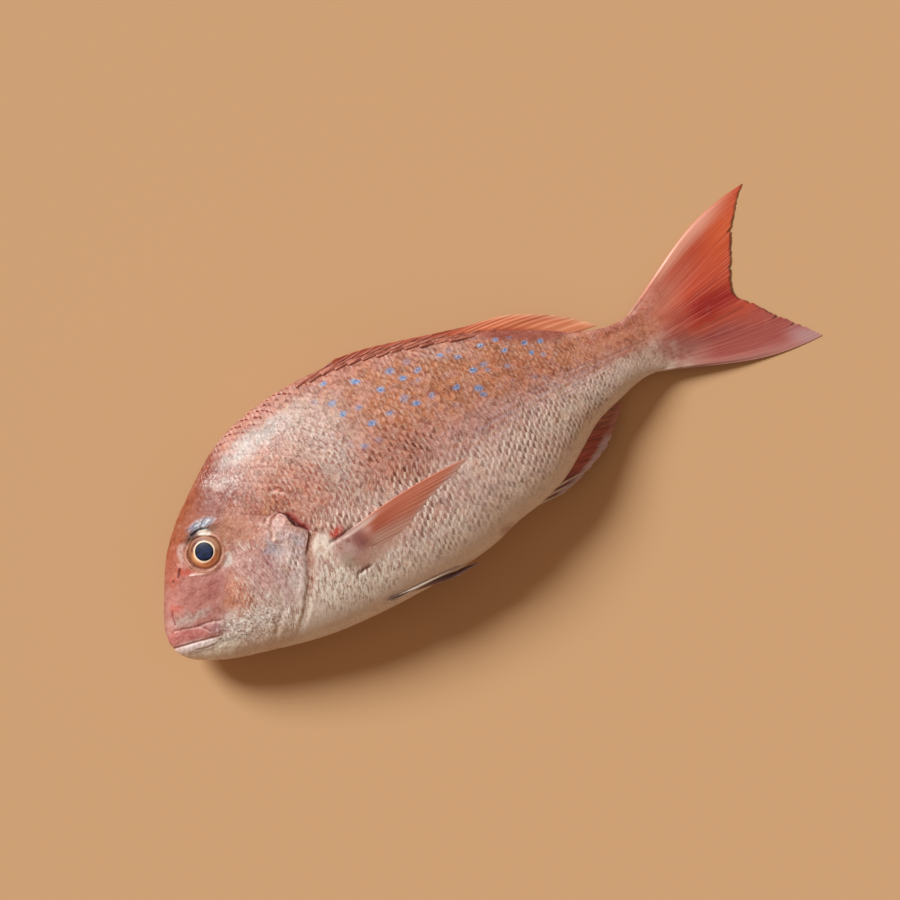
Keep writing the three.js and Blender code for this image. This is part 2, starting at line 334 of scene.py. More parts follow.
def lay(tints, shade, mask):
    """Lays a shade over the tints, as thick as the mask says."""
    return tints + (paint(shade) - tints) * np.clip(mask, 0, 1)[:, None]


def layered(tints, *layers):
    """Lays several shades over the tints, one after the other, each with its mask."""
    for shade, mask in layers:
        tints = lay(tints, shade, mask)
    return tints


def rear_tints(x, y, tints):
    """Lets the tints of the trunk run over into those of the tail fin's root."""
    return blend(tints, tail_root_tints(y), step(298, 314, x + 4 * noise(x / 5, y / 3, 13)))


def tail_root_tints(y):
    """The shades across the root of the tail fin, from its lower edge to its upper."""
    levels = (-16, -9, -2, 6, 12, 20)
    shades = (186, 132, 122), (176, 108, 100), (164, 84, 74), (170, 86, 70), (196, 114, 92), (204, 126, 108)
    channels = np.array([colour(*shade) for shade in shades]).T
    return np.stack([np.interp(y, levels, channel) for channel in channels], 1)


def patch(x, y, centre, size, lean=0.0, soft=0.5):
    """A soft oval patch of the side view: 1 inside, 0 outside. The lean is in degrees."""
    turn = math.radians(lean)
    dx, dy = x - centre[0], y - centre[1]
    along = (dx * math.cos(turn) + dy * math.sin(turn)) / size[0]
    across = (dy * math.cos(turn) - dx * math.sin(turn)) / size[1]
    return step(1 + soft, 1 - soft, np.hypot(along, across))


def stroke(x, y, points, width, soft=0.5):
    """A soft stroke along straight pieces between points: 1 inside, 0 outside."""
    nearest = np.full(x.shape, np.inf)
    for (ax, ay), (bx, by) in zip(points, points[1:]):
        length = (bx - ax) ** 2 + (by - ay) ** 2
        t = np.clip(((x - ax) * (bx - ax) + (y - ay) * (by - ay)) / length, 0, 1)
        nearest = np.minimum(nearest, np.hypot(x - ax - t * (bx - ax), y - ay - t * (by - ay)))
    return step(width / 2 * (1 + soft), width / 2 * (1 - soft), nearest)


# Each wash is a shade, its strength and an oval: centre, half sizes and lean, in the side view.
TRUNK_WASHES = [
    ((186, 128, 108), 0.6, (106, 22), (20, 30), 0),
    (PALE_LILAC, 0.35, (112, 8), (12, 8), 0),
    # The pale band along the nape and the pale patch that runs down behind it are a painted highlight.
    ((200, 198, 196), 0.7, (98, 66), (26, 5), 4),
    ((204, 184, 176), 0.55, (125, 52), (21, 17), -50),
    (ASH, 0.6, (124, 30), (9, 20), 0),
    ((248, 236, 226), 0.95, (96, 0), (6, 5), 0),
    (WHITE, 0.75, (102, -25), (26, 12), -8),
    (ROSE, 0.3, (150, -16), (26, 7), 5),
    (PALE_LILAC, 0.4, (172, -9), (16, 6), 0),
    ((236, 214, 206), 0.5, (235, 2), (22, 7), -4),
    ((240, 218, 206), 0.5, (132, -35), (26, 7), -3),
    (RUST, 0.5, (157, 18), (20, 17), 0),
    (ORANGE, 0.35, (196, 40), (44, 16), -18),
    (LILAC, 0.3, (205, 11), (40, 6), -4),
    (PALE_LILAC, 0.3, (204, 54), (14, 5), -20),
    (RUST, 0.4, (236, 24), (22, 10), -30),
    ((230, 213, 202), 0.9, (268, -7), (40, 7), 6),
    ((170, 88, 60), 0.7, (91, 34), (8, 7), 0),
    ((188, 122, 100), 0.65, (292, 7), (26, 9), -4),
    ((190, 150, 134), 0.6, (302, -6), (12, 7), 0),
    (DEEP_ROSE, 0.4, (286, 17), (26, 3), -8),
]
HEAD_WASHES = [
    ((160, 78, 40), 0.95, (42, 52), (42, 12), 38),
    ((138, 58, 38), 0.9, (68, 50), (20, 14), 30),
    ((174, 108, 98), 0.85, (24, 12), (18, 20), 0),
    ((188, 122, 114), 0.6, (10, 14), (7, 20), -35),
    ((184, 96, 70), 0.6, (24, 32), (12, 6), 50),
    (SILVER, 0.4, (18, 3.5), (11, 3.5), -14),
    ((196, 92, 74), 0.6, (12, 10.5), (3, 3.5), 30),
    ((164, 96, 92), 0.6, (38, 13), (8, 5), 10),
    ((206, 180, 174), 0.6, (31, 35), (6, 2.6), 50),
    ((156, 96, 60), 0.85, (57, 30), (8, 10), 0),
    ((208, 138, 106), 0.75, (45, 0), (7, 12), -22),
    (PALE_LILAC, 0.35, (57, 8), (7, 18), -10),
    ((222, 206, 200), 0.8, (42, -15), (17, 7), -12),
    ((224, 198, 182), 0.9, (42, -26), (46, 8), -18),
    ((246, 234, 218), 0.9, (20, -17.5), (12, 5), -16),
    ((222, 205, 208), 0.8, (79, 4), (11, 19), 0),
    (LILAC, 0.6, (68, -1), (2.6, 14), 0),
    ((190, 130, 106), 0.7, (70, 30), (13, 12), 0),
    (BLUE_GREY, 0.5, (72, 11.5), (4.5, 3.5), 0),
    (BLUE_GREY, 0.3, (86, 6), (5, 4), 40),
    (GOLD, 0.35, (74, 0), (3, 4), 0),
    ((220, 206, 204), 0.4, (67, 56), (10, 3), -28),
    (DEEP_ROSE, 0.7, (66, 66), (9, 5), 25),
    ((144, 60, 36), 0.95, (86, 34), (11, 8), 0),
    ((196, 128, 84), 0.7, (84, 32.5), (5, 4), 35),
    # A painted highlight along the nape.
    ((192, 188, 186), 0.7, (92, 66), (20, 4.5), 6),
    (SILVER, 0.6, (50, 19), (3.5, 3), 30),
]


def wash(tints, x, y, washes, seed):
    """Lays the washes over the tints, with uneven edges."""
    wx = x + 2.2 * noise(x / 5, y / 5, seed) + noise(x / 1.7, y / 1.7, seed + 1)
    wy = y + 2.2 * noise(x / 5, y / 5, seed + 2) + noise(x / 1.7, y / 1.7, seed + 3)
    for shade, strength, centre, size, lean in washes:
        tints = lay(tints, shade, strength * patch(wx, wy, centre, size, lean))
    return tints


def height_share(x, y):
    """From -1 at the belly's edge to 1 at the back's."""
    level = WIDEST_LEVEL(x)
    reach = np.maximum(np.where(y > level, BACK(x) - level, level - BELLY(x)), 0.01)
    return np.clip((y - level) / reach, -1, 1)


def body_tints(x, y):
    """The skin's colour all over the body, with a painted highlight along the nape."""
    h = height_share(x, y) + 0.05 * noise(x / 9, y / 6, 11)
    tints = tinted(BEIGE, len(x))
    tints = layered(
        tints,
        (CREAM, step(-0.6, -0.85, h)),
        (mix(FLESH, LILAC, 0.3), step(-0.3, 0.0, h)),
        (ORANGE, 0.85 * step(0.08, 0.35, h) * step(120, 168, x + 6 * noise(x / 6, y / 5, 15))),
        ((206, 140, 126), 0.7 * step(0.75, 0.95, h)),
    )
    tints = wash(tints, x, y, TRUNK_WASHES, 20)
    head = step(GILL_EDGE(y) + 8, GILL_EDGE(y) - 6, x)
    headed = lay(tints, mix(PALE_LILAC, ROSE, 0.5), 0.85 * step(-0.5, -0.2, h))
    headed = wash(headed, x, y, HEAD_WASHES, 30)
    tints = blend(tints, headed, head)
    return tints * mix(1.0, 0.8, step(0.45, 0.95, h))[:, None]


# Relief of the head, in millimetres outwards

def eye_distance(x, y):
    return np.hypot(x - EYE_X, y - EYE_Y)


def eye_opening(x, y):
    """The radius of the eye's opening, smaller under the lid at its top."""
    turn = np.arctan2(y - EYE_Y, x - EYE_X)
    return EYE_RADIUS - 0.7 - 1.5 * step(0.2, 1.0, np.sin(turn))


# Each nostril is its two ends, its width and its depth.
NOSTRILS = [((25.4, 28.4), (22.6, 25.2), 1.1, 0.8), ((19.4, 24.9), (18.8, 24.0), 0.9, 0.6)]
PREOPERCLE = [(63, 26), (65.5, 12), (66, -6), (62, -18), (52, -26)]
UPPER_LIP = [(6, 2.3), (10, 0.9), (14, -0.5), (18, -2), (20.5, -4.2), (22.6, -7.6)]
MAXILLA = [(18.5, -2), (23, -2.7), (27, -3.9), (30.6, -5.7)]
MAXILLA_END = [(31, -6), (29.8, -9), (27, -12.4)]
CHIN = [(11, -12), (16, -13.8), (21, -14.8), (25, -14)]
SNOUT_FOLD = [(8, 4.8), (8.6, 8), (10.4, 11.4)]
SUBORBITAL = [(28.5, 22.8), (32, 21.4), (36, 19.4), (41, 18.6), (46, 19.4), (50.5, 22.4)]
OPERCLE_FOLDS = [
    [(87, 37), (88.4, 33.5), (87, 30.5), (84, 28)], [(88, 39), (92, 38), (95, 35), (96.5, 31.5)],
    [(77, 26), (80.5, 28.4), (84, 28)], [(86, 26.5), (81, 25), (77.5, 21.5), (76, 17)],
]


def shifted(points, dx, dy):
    return [(px + dx, py + dy) for px, py in points]


# Each line is a shade, its points, its width and its strength.
# The dark lines along the grooves of the upper lip, the maxilla and its end, the chin, the snout's fold and
# the opercle's folds are painted shade in those grooves, and the pale lines set beside them are painted
# highlights on their edges.
HEAD_LINES = [
    ((126, 66, 66), UPPER_LIP, 0.7, 0.7),
    ((222, 178, 172), shifted(UPPER_LIP, -0.5, -0.9), 0.7, 0.5),
    ((120, 62, 60), MAXILLA, 0.8, 0.7),
    ((230, 196, 190), shifted(MAXILLA, -0.4, -1.0), 0.8, 0.6),
    ((226, 196, 184), shifted(MAXILLA_END, -0.6, 0), 1.2, 0.8),
    ((130, 78, 72), shifted(MAXILLA_END, 0.7, 0), 1.0, 0.5),
    ((128, 104, 96), CHIN, 0.8, 0.6),
    ((112, 96, 86), [(24, -14.5), (31, -17), (38, -19)], 2.2, 0.4),
    ((140, 44, 44), SNOUT_FOLD, 1.1, 0.7),
    ((190, 74, 50), [(25.5, 26), (29, 24.6), (32.5, 22.8)], 3.2, 0.7),
    ((236, 206, 198), SUBORBITAL, 0.9, 0.9),
    ((140, 62, 44), shifted(SUBORBITAL, 0, 1.2), 1.2, 0.5),
    ((120, 52, 36), OPERCLE_FOLDS[0], 1.2, 0.7),
    ((120, 52, 36), OPERCLE_FOLDS[1], 1.4, 0.7),
    ((112, 50, 34), OPERCLE_FOLDS[2], 1.2, 0.7),
    ((150, 84, 62), OPERCLE_FOLDS[3], 1.4, 0.6),
    ((224, 176, 150), shifted(OPERCLE_FOLDS[0], -1.6, 0.4), 1.0, 0.4),
    ((228, 196, 184), shifted(OPERCLE_FOLDS[1], -1.8, -1.6), 1.4, 0.5),
    ((228, 186, 176), shifted(OPERCLE_FOLDS[3], 0.4, -1.8), 1.2, 0.4),
    ((140, 100, 112), [(66.5, 20), (67, 4), (66, -12), (63, -19)], 1.6, 0.45),
]


# How far outside the eye's opening each ring of bare skin lies, with its shade and its strength
EYE_RINGS = [(0.5, (110, 58, 40), 0.8), (1.5, (206, 150, 128), 0.7), (2.4, (140, 84, 66), 0.6)]


def eye_tints(tints, x, y):
    """The bare skin round the eye, the lid above it with painted shadow under it, and the silvery brow."""
    r = eye_distance(x, y)
    opening = eye_opening(x, y)
    fleck = noise(x / 0.9, y / 0.9, 61)
    tints = lay(tints, (186, 122, 98), 0.8 * step(opening + 4.0, opening + 2.0, r))
    for ring, shade, strength in EYE_RINGS:
        tints = lay(tints, shade, strength * step(0.7, 0.1, np.abs(r - opening - ring)))
    tints = lay(tints, (132, 76, 54), step(opening + 0.3, opening - 0.5, r))
    brow = patch(x, y, (47.2, 42.6), (7.0, 2.6), -6, 0.5)
    strands = noise((x + y) / 3.2, (y - 0.35 * x) / 0.55, 62)
    silvery = blend((104, 122, 150), (206, 210, 216), step(-0.1, 0.7, 0.5 * fleck + 0.7 * strands))
    return layered(
        tints,
        (silvery, 0.9 * brow),
        ((64, 62, 76), 0.6 * brow * step(-0.2, -0.7, strands)),
        # A painted shadow under the lid.
        ((70, 42, 32), 0.9 * patch(x, y, (40, 38.9), (4.8, 2.6), 14, 0.8)),
        # The lid's dark edge, deepened with painted shade in its crease.
        ((28, 30, 44), 0.95 * stroke(x, y, [(40, 40.6), (45, 40.9), (50, 38.6)], 1.2, 0.6)),
        (WHITE, 0.9 * patch(x, y, (46.8, 37.9), (3.2, 1.6), -28, 0.5)),
        ((120, 84, 60), 0.6 * patch(x, y, (51.5, 38), (2, 2.4), 0, 0.6)),
    )


PECTORAL_BASE = [
    ((248, 234, 224), 0.9, (96, 0), (5, 4.6), 0),
    (MAUVE, 0.9, (110, -12), (9, 11), 0),
    # Painted shade where the fin's root rises off the skin.
    ((126, 60, 58), 0.75, (116, -8.5), (4, 6.5), 14),
    ((236, 206, 200), 0.8, (112, -2.4), (8, 1.0), 4),
    ((196, 164, 158), 0.7, (107, -9), (3, 6), 20),
    ((176, 160, 140), 0.7, (103.5, -15), (3.4, 5), 0),
    # Painted shadow in the slit above the fin's root.
    ((90, 30, 24), 0.9, (107, -0.6), (7, 0.8), 4),
    ((198, 58, 32), 0.95, (106, 2.2), (4, 2.3), 10),
    # Painted shadow in the groove below the fin's root.
    ((120, 60, 60), 0.8, (108.5, -22.4), (4.5, 0.9), 0),
    ((202, 158, 138), 0.65, (123, -16.5), (17, 5), 10),
]


def pectoral_base_tints(tints, x, y):
    """Lays the fleshy base of the pectoral fin on the skin's colour."""
    for shade, strength, centre, size, lean in PECTORAL_BASE:
        tints = lay(tints, shade, strength * patch(x, y, centre, size, lean, 0.6))
    return tints


def dorsal_band(x, y):
    """The dark red fleshy base of the dorsal fin's soft rays, deepened with painted shade under the fin."""
    below = BACK(x) - y
    depth = 1.4 + 5.4 * step(214, 240, x) * step(266, 250, x) + 1.2 * noise(x / 4, y / 4, 18)
    return step(212, 224, x) * step(269, 260, x) * step(depth + 1.8, depth - 1.8, below)


def spiny_band(x, y):
    """The dark red skin between the folded dorsal spines, along the back's ridge, with painted shade in it.
    """
    below = BACK(x) - y + 1.4 * noise(x / 5, y / 3, 19)
    return step(126, 138, x) * step(224, 212, x) * step(5.0, 2.0, below)


# Each groove is its points, its width and its depth.
HEAD_GROOVES = [
    (UPPER_LIP, 1.0, 0.2), (MAXILLA, 1.0, 0.25), (MAXILLA_END, 1.0, 0.2), (CHIN, 1.0, 0.15),
    (SNOUT_FOLD, 1.4, 0.4), *((fold, 1.6, 0.6) for fold in OPERCLE_FOLDS),
]


def head_relief(x, y):
    """How far the head's bony and fleshy forms stand off the plain body."""
    relief = 0.9 * patch(x, y, (50, 0), (18, 16), -10, 0.9)
    relief -= 0.4 * stroke(x, y, PREOPERCLE, 3.2, 0.9)
    relief += 0.25 * stroke(x, y, shifted(PREOPERCLE, 3.5, 0), 6, 0.9)
    above_gape = y - GAPE(x)
    lip_height = np.maximum(LIP_GROOVE(x) - GAPE(x), 0.5)
    inside_lip = np.clip(above_gape / lip_height, 0, 1)
    relief += 0.3 * np.sin(math.pi * inside_lip) * step(30, 22, x)
    relief += 0.5 * patch(x, y, (25, -7.5), (5, 3.4), -20, 0.6)
    relief += 0.8 * patch(x, y, (11, -10.5), (10, 2.4), -18, 0.7)
    relief += 0.5 * patch(x, y, (11, 10), (4, 6), -20, 0.9)
    for points, width, depth in HEAD_GROOVES:
        relief -= depth * stroke(x, y, points, width, 0.8)
    relief -= 0.35 * step(27, 20, x) * step(1.0, 0.2, np.abs(above_gape))
    r = eye_distance(x, y)
    opening = eye_opening(x, y)
    relief += 0.45 * step(opening - 0.4, opening + 0.5, r) * step(opening + 3.6, opening + 0.8, r)
    relief -= 0.3 * step(0.6, 0.1, np.abs(r - opening - 2.2))
    relief -= 5 * step(opening + 0.25, opening - 0.9, r)
    lid = patch(x, y, (44, 40.6), (9, 2.8), -5, 0.6)
    relief += 0.9 * lid - 0.8 * stroke(x, y, [(40, 39.9), (45, 40.9), (50, 39)], 0.9, 0.7)
    relief += 0.35 * stroke(x, y, SUBORBITAL, 1.6, 0.9)
    for start, end, width, depth in NOSTRILS:
        relief -= depth * stroke(x, y, [start, end], width, 0.7)
        relief += 0.3 * stroke(x, y, [start, end], width + 3, 0.8)
    relief += 0.14 * noise(x / 3, y / 3, 6) + 0.08 * noise(x / 1.1, y / 1.1, 7)
    return relief


GILL_COVER_THICKNESS = 1.6
GILL_COVER_LENGTH = 24.0
LATERAL_LINE = [
    (92, 40), (110, 47), (130, 49.5), (155, 47), (180, 40), (205, 30), (230, 19), (255, 10.5),
    (280, 5), (316, 1),
]


def gill_cover_share(y):
    """1 where the gill cover is free at its rear edge, 0 where it runs on into the body."""
    return step(GILL_TOP + 1, GILL_TOP - 3, y) * step(-6, 1, y)


def gill_cover_thickness(y):
    return GILL_COVER_THICKNESS * step(GILL_TOP, 19, y) * (0.2 * step(-1, 3, y) + 0.8 * step(6, 15, y))


def gill_cover_rise(x, y):
    front = GILL_EDGE(y) - GILL_COVER_LENGTH
    return gill_cover_thickness(y) * step(front, front + 16, x)


def gill_fold(x, y):
    """The fold that runs on from the gill opening down towards the throat."""
    behind = x - GILL_EDGE(y)
    along = step(10, 5, y) * step(-36, -22, y)
    return along * (0.25 * step(3.5, 0, np.abs(behind + 2)) - 0.5 * step(4, 0.5, np.abs(behind - 2.5)))


def scaliness(x, y):
    """How strongly scales show: full on the trunk, weak on the cheek, none on the snout and belly."""
    trunk = step(56, 84, x + 0.25 * (y - 20))
    cheek = 0.5 * patch(x, y, (54, -2), (13, 22), -12, 0.6)
    cover = 0.2 * patch(x, y, (80, 4), (9, 24), 0, 0.6)
    smooth_belly = step(-0.72, -0.9, height_share(x, y))
    bare = 0.5 * step(255, 285, x) + 0.5 * step(290, 308, x + 2 * noise(x / 3, y / 3, 12))
    bare = np.maximum(bare, 0.9 * patch(x, y, (109, -10), (9.5, 13), 0, 0.4))
    bare = np.maximum(bare, 0.8 * patch(x, y, (98, 1), (8, 6), 0, 0.4))
    bare = np.maximum(bare, 0.7 * patch(x, y, (123, -16.5), (17, 5), 10, 0.4))
    return np.clip(trunk + cheek + cover, 0, 1) * (1 - 0.85 * smooth_belly) * (1 - bare)


SCALE_RELIEF = 0.11


def scale_relief(x, y, u, v):
    rise = 1 - np.clip(scale_ahead(u, v) / 0.95, 0, 1)
    return SCALE_RELIEF * rise * scaliness(x, y)


# Meshes

def grid_shares(columns, rows, count=1):
    """Flat grids of faces, as one bmesh, and each corner's share of the way along and round."""
    grid = bmesh.new()
    for _ in range(count):
        bmesh.ops.create_grid(grid, x_segments=columns, y_segments=rows, size=0.5)
    shares = np.array([corner.co[:2] for corner in grid.verts]) + 0.5
    return grid, shares[:, 0], shares[:, 1]


def outward(points, columns, rows):
    """Unit normals of a closed grid of points, pointing out of it."""
    lattice = points.reshape(rows + 1, columns + 1, 3)
    along = np.gradient(lattice, axis=1)
    wrapped = np.concatenate([lattice[-2:-1], lattice, lattice[1:2]])
    round_it = (wrapped[2:] - wrapped[:-2]) / 2
    normals = np.cross(along, round_it)
    size = np.linalg.norm(normals, axis=2, keepdims=True)
    normals = np.divide(normals, size, out=np.zeros_like(normals), where=size > 1e-9).reshape(-1, 3)
    middle = lattice.mean(axis=0, keepdims=True)
    side = np.sum(normals * (lattice - middle).reshape(-1, 3))
    return normals if side > 0 else -normals


MERGE_DISTANCE = 2e-6
SHORTEST_EDGE = 1e-7


def finish_piece(name, grid, points, layers, places, material, node, sharp_angle=60.0):
    """Turns a grid moved to its points, in millimetres, into a closed piece that rides on the body."""
    mesh = bpy.data.meshes.new(name)
    grid.to_mesh(mesh)
    grid.free()
    mesh.vertices.foreach_set("co", world(points).astype(np.float32).ravel())
    for layer, values in layers.items():
        attribute = mesh.color_attributes.new(layer, "FLOAT_COLOR", "POINT")
        opaque = np.concatenate([values, np.ones((len(values), 1))], 1)
        attribute.data.foreach_set("color", opaque.astype(np.float32).ravel())
    corners = np.empty(len(mesh.loops), np.int32)
    mesh.loops.foreach_get("vertex_index", corners)
    uv = mesh.uv_layers.new(name="UVMap")
    uv.uv.foreach_set("vector", places[corners].astype(np.float32).ravel())
    closed = bmesh.new()
    closed.from_mesh(mesh)
    bmesh.ops.remove_doubles(closed, verts=closed.verts, dist=MERGE_DISTANCE)
    bmesh.ops.dissolve_degenerate(closed, edges=closed.edges, dist=SHORTEST_EDGE)
    bmesh.ops.recalc_face_normals(closed, faces=closed.faces)
    closed.to_mesh(mesh)
    closed.free()
    mesh.shade_smooth()
    mesh.set_sharp_from_angle(angle=math.radians(sharp_angle))
    mesh.materials.append(material)
    piece = bpy.data.objects.new(name, mesh)
    bpy.context.collection.objects.link(piece)
    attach(piece, "root")
    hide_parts(node)
    return piece


# Materials

# Where the marks stand on each scale, in scales in front of its rear edge: the dark dash, the painted shade
# and the painted highlight
DASH_PLACE, SHADE_PLACE, RIM_HIGHLIGHT_PLACE = 0.56, 0.52, 0.24
# How many columns and rows of the lattice each blue spot has to itself
SPOT_COLUMNS, SPOT_ROWS = 2.3, 3.7


class Value:
    """What a node gives. Sums, differences and products of values are nodes too."""

    def __init__(self, graph, socket):
        self.graph, self.socket = graph, socket

    def __add__(self, other):
        return self.graph.math("ADD", self, other)

    def __sub__(self, other):
        return self.graph.math("SUBTRACT", self, other)

    def __rsub__(self, other):
        return self.graph.math("SUBTRACT", other, self)

    def __mul__(self, other):
        return self.graph.math("MULTIPLY", self, other)

    def __abs__(self):
        return self.graph.math("ABSOLUTE", self)

    def beside(self, output):
        """Another output of the same node."""
        return Value(self.graph, self.socket.node.outputs[output])


class Graph:
    """Adds nodes to a new material and wires them up."""

    def __init__(self, name):
        self.material = bpy.data.materials.new(name)
        self.material.use_nodes = True
        self.tree = self.material.node_tree
        self.tree.nodes.clear()
        self.shader = self.tree.nodes.new("ShaderNodeBsdfPrincipled")
        output = self.tree.nodes.new("ShaderNodeOutputMaterial")
        self.tree.links.new(self.shader.outputs[0], output.inputs["Surface"])

    def add(self, kind, output, inputs, **settings):
        """A new node with its inputs wired, and the value it gives at that output."""
        node = self.tree.nodes.new(kind)
        for key, value in settings.items():
            setattr(node, key, value)
        for key, value in inputs.items():
            self.wire(node.inputs[key], value)
        return Value(self, node.outputs[output])

    def wire(self, socket, value):
        if isinstance(value, Value):
            self.tree.links.new(value.socket, socket)
        elif hasattr(socket.default_value, "__len__") and not hasattr(value, "__len__"):
            socket.default_value = [value] * len(socket.default_value)
        elif hasattr(value, "__len__") and len(socket.default_value) == 4:
            socket.default_value = (*value[:3], 1.0)
        else:
            socket.default_value = value

    def math(self, operation, *values):
        return self.add("ShaderNodeMath", 0, dict(enumerate(values)), operation=operation)

    def mix(self, factor, first, second, blend="MIX"):
        inputs = {"Factor": factor, 6: first, 7: second}
        return self.add("ShaderNodeMix", 2, inputs, data_type="RGBA", blend_type=blend)

    def lay(self, base, shade, mask):
        """Lays a shade over the base, as thick as the mask says."""
        return self.mix(mask, base, shade)

    def tone(self, base, shade, mask):
        """Multiplies the base by a shade, as strongly as the mask says."""
        return self.mix(mask, base, shade, "MULTIPLY")

    def smooth(self, value, low, high):
        """Rises smoothly from 0 at low to 1 at high; low may be the larger."""
        inputs = {
            "Value": value, "From Min": min(low, high), "From Max": max(low, high),
            "To Min": float(low > high), "To Max": float(low <= high),
        }
        return self.add("ShaderNodeMapRange", 0, inputs, interpolation_type="SMOOTHSTEP")

    def attribute(self, name):
        return self.add("ShaderNodeAttribute", "Color", {}, attribute_name=name)

    def channels(self, value):
        red = self.add("ShaderNodeSeparateColor", 0, {0: value})
        return red, red.beside(1), red.beside(2)

    def parts(self, vector):
        """The first two parts of a vector."""
        x = self.add("ShaderNodeSeparateXYZ", 0, {0: vector})
        return x, x.beside(1)

    def uv(self):
        return self.add("ShaderNodeUVMap", 0, {}, uv_map="UVMap")

    def place(self):
        return self.add("ShaderNodeTexCoord", "Object", {})

    def scaled(self, vector, *size):
        return self.add("ShaderNodeVectorMath", 0, {0: vector, 1: size}, operation="MULTIPLY")

    def combined(self, x, y, z=0.0):
        return self.add("ShaderNodeCombineXYZ", 0, {0: x, 1: y, 2: z})

    def noise(self, vector, scale, detail=2.0, roughness=0.5, distortion=0.0):
        return self.add("ShaderNodeTexNoise", "Fac", {
            "Vector": vector, "Scale": scale, "Detail": detail, "Roughness": roughness,
            "Distortion": distortion,
        })

    def bump(self, height, distance, strength=1.0, normal=None):
        inputs = {"Height": height, "Distance": distance, "Strength": strength}
        if normal is not None:
            inputs["Normal"] = normal
        return self.add("ShaderNodeBump", 0, inputs)

    def finish(self, **sockets):
        for name, value in sockets.items():
            self.wire(self.shader.inputs[name.replace("_", " ")], value)
        return self.material


def scale_nodes(graph, u, v):
    """The scale at u, v: how far ahead of its rear edge, how far across, and three chances."""
    rows = []
    low = graph.math("FLOOR", v)
    for row in (low, low + 1.0):
        across = v - row
        shift = graph.math("FLOORED_MODULO", row, 2.0) * 0.5
        bulge = (1.0 - across * across) * SCALE_BULGE
        centre = graph.math("CEIL", u - (bulge + shift)) + shift
        rows.append((centre, centre + bulge - u, across, row))
    first = graph.math("LESS_THAN", rows[0][0], rows[1][0])
    centre, ahead, across, row = (far + (near - far) * first for near, far in zip(*rows))
    number = {"Vector": graph.combined(centre, row)}
    chance = graph.add("ShaderNodeTexWhiteNoise", "Color", number, noise_dimensions="2D")
    return ahead, across, graph.channels(chance)


def mottled(graph, base, speckled, scaly):
    """Mottles a colour as skin is: ruddy, pale, golden and rosy patches, and fine grit."""
    mottle = graph.noise(graph.place(), 230.0, 5.0, 0.72)
    base = graph.tone(base, (0.62, 0.40, 0.36), graph.smooth(mottle, 0.52, 0.34) * speckled * 0.75)
    base = graph.lay(base, PALE_LILAC, graph.smooth(mottle, 0.54, 0.7) * (scaly * 0.25 + 0.15))
    gold, rose = graph.channels(graph.noise(graph.place(), 150.0, 3.0).beside("Color"))[:2]
    base = graph.tone(base, (1.0, 0.88, 0.68), graph.smooth(gold, 0.5, 0.62) * scaly * 0.4)
    base = graph.lay(base, colour(204, 156, 152), graph.smooth(rose, 0.5, 0.62) * scaly * 0.3)
    grit = graph.noise(graph.place(), 800.0, 3.0, 0.7)
    base = graph.tone(base, (0.55, 0.42, 0.40), graph.smooth(grit, 0.5, 0.3) * 0.35)
    return graph.lay(base, WHITE, graph.smooth(grit, 0.58, 0.7) * (scaly * 0.25 + 0.1))


def stroked_skin(graph, base, u, v, stroked):
    """Short deep and pale strokes, which lean on the belly's side and the back's."""
    slant = graph.math("MINIMUM", v, 0.0) * -0.16 + u
    slant = graph.math("MAXIMUM", v, 0.0) * 0.06 + slant
    strokes = graph.noise(graph.combined(slant * 5.0, v * 0.85), 1.0, 2.0, 0.6, 0.5)
    base = graph.tone(base, (0.50, 0.34, 0.30), graph.smooth(strokes, 0.49, 0.33) * stroked * 0.85)
    pale = graph.mix(graph.smooth(v, -2.0, 5.0), STROKE, colour(216, 164, 134))
    return graph.lay(base, pale, graph.smooth(strokes, 0.53, 0.68) * stroked * 0.5)


def scale_marks(graph, base, uv, scale, dark, light):
    """A dark upright dash crosses the middle of each scale, and a painted highlight leans along its rear
    edge.
    """
    v = graph.parts(uv)[1]
    ahead, across, (chance, second_chance, third_chance) = scale
    blurred = graph.noise(uv, 2.5, 3.0, 0.7) * 0.6 + -0.3
    straight = blurred * 0.3 + (across * across * SCALE_BULGE + ahead)
    across_blurred = abs(across) + blurred
    back_lean = across * (graph.smooth(v, 6.0, 12.0) * -0.3)
    dash = graph.smooth(abs(straight + back_lean - DASH_PLACE), 0.17, 0.06)
    dash = dash * graph.smooth(across_blurred, 0.75, 0.3) * graph.smooth(second_chance, 0.0, 0.8)
    base = graph.lay(base, graph.attribute("ink"), dash * dark)
    low_side = graph.smooth(v, 2.0, -3.0)
    leaning = across * (low_side * (third_chance * 0.16 + 0.08)) + straight
    leaning = (chance - 0.5) * 0.14 + leaning
    # Painted shade just in front of each rim's highlight.
    behind_rim = graph.smooth(abs(leaning - SHADE_PLACE), 0.2, 0.08) * (light * low_side)
    behind_rim = behind_rim * graph.smooth(second_chance, -0.4, 0.8)
    base = graph.tone(base, (0.54, 0.42, 0.37), behind_rim * 0.8)
    # The painted highlight along each scale's rear edge.
    rim = graph.smooth(abs(leaning - RIM_HIGHLIGHT_PLACE) + light * -0.04, 0.12, 0.02)
    rim = rim * graph.smooth(across_blurred, 0.95, 0.5) * graph.smooth(third_chance, -0.3, 0.9)
    return graph.lay(base, STROKE, rim * light)


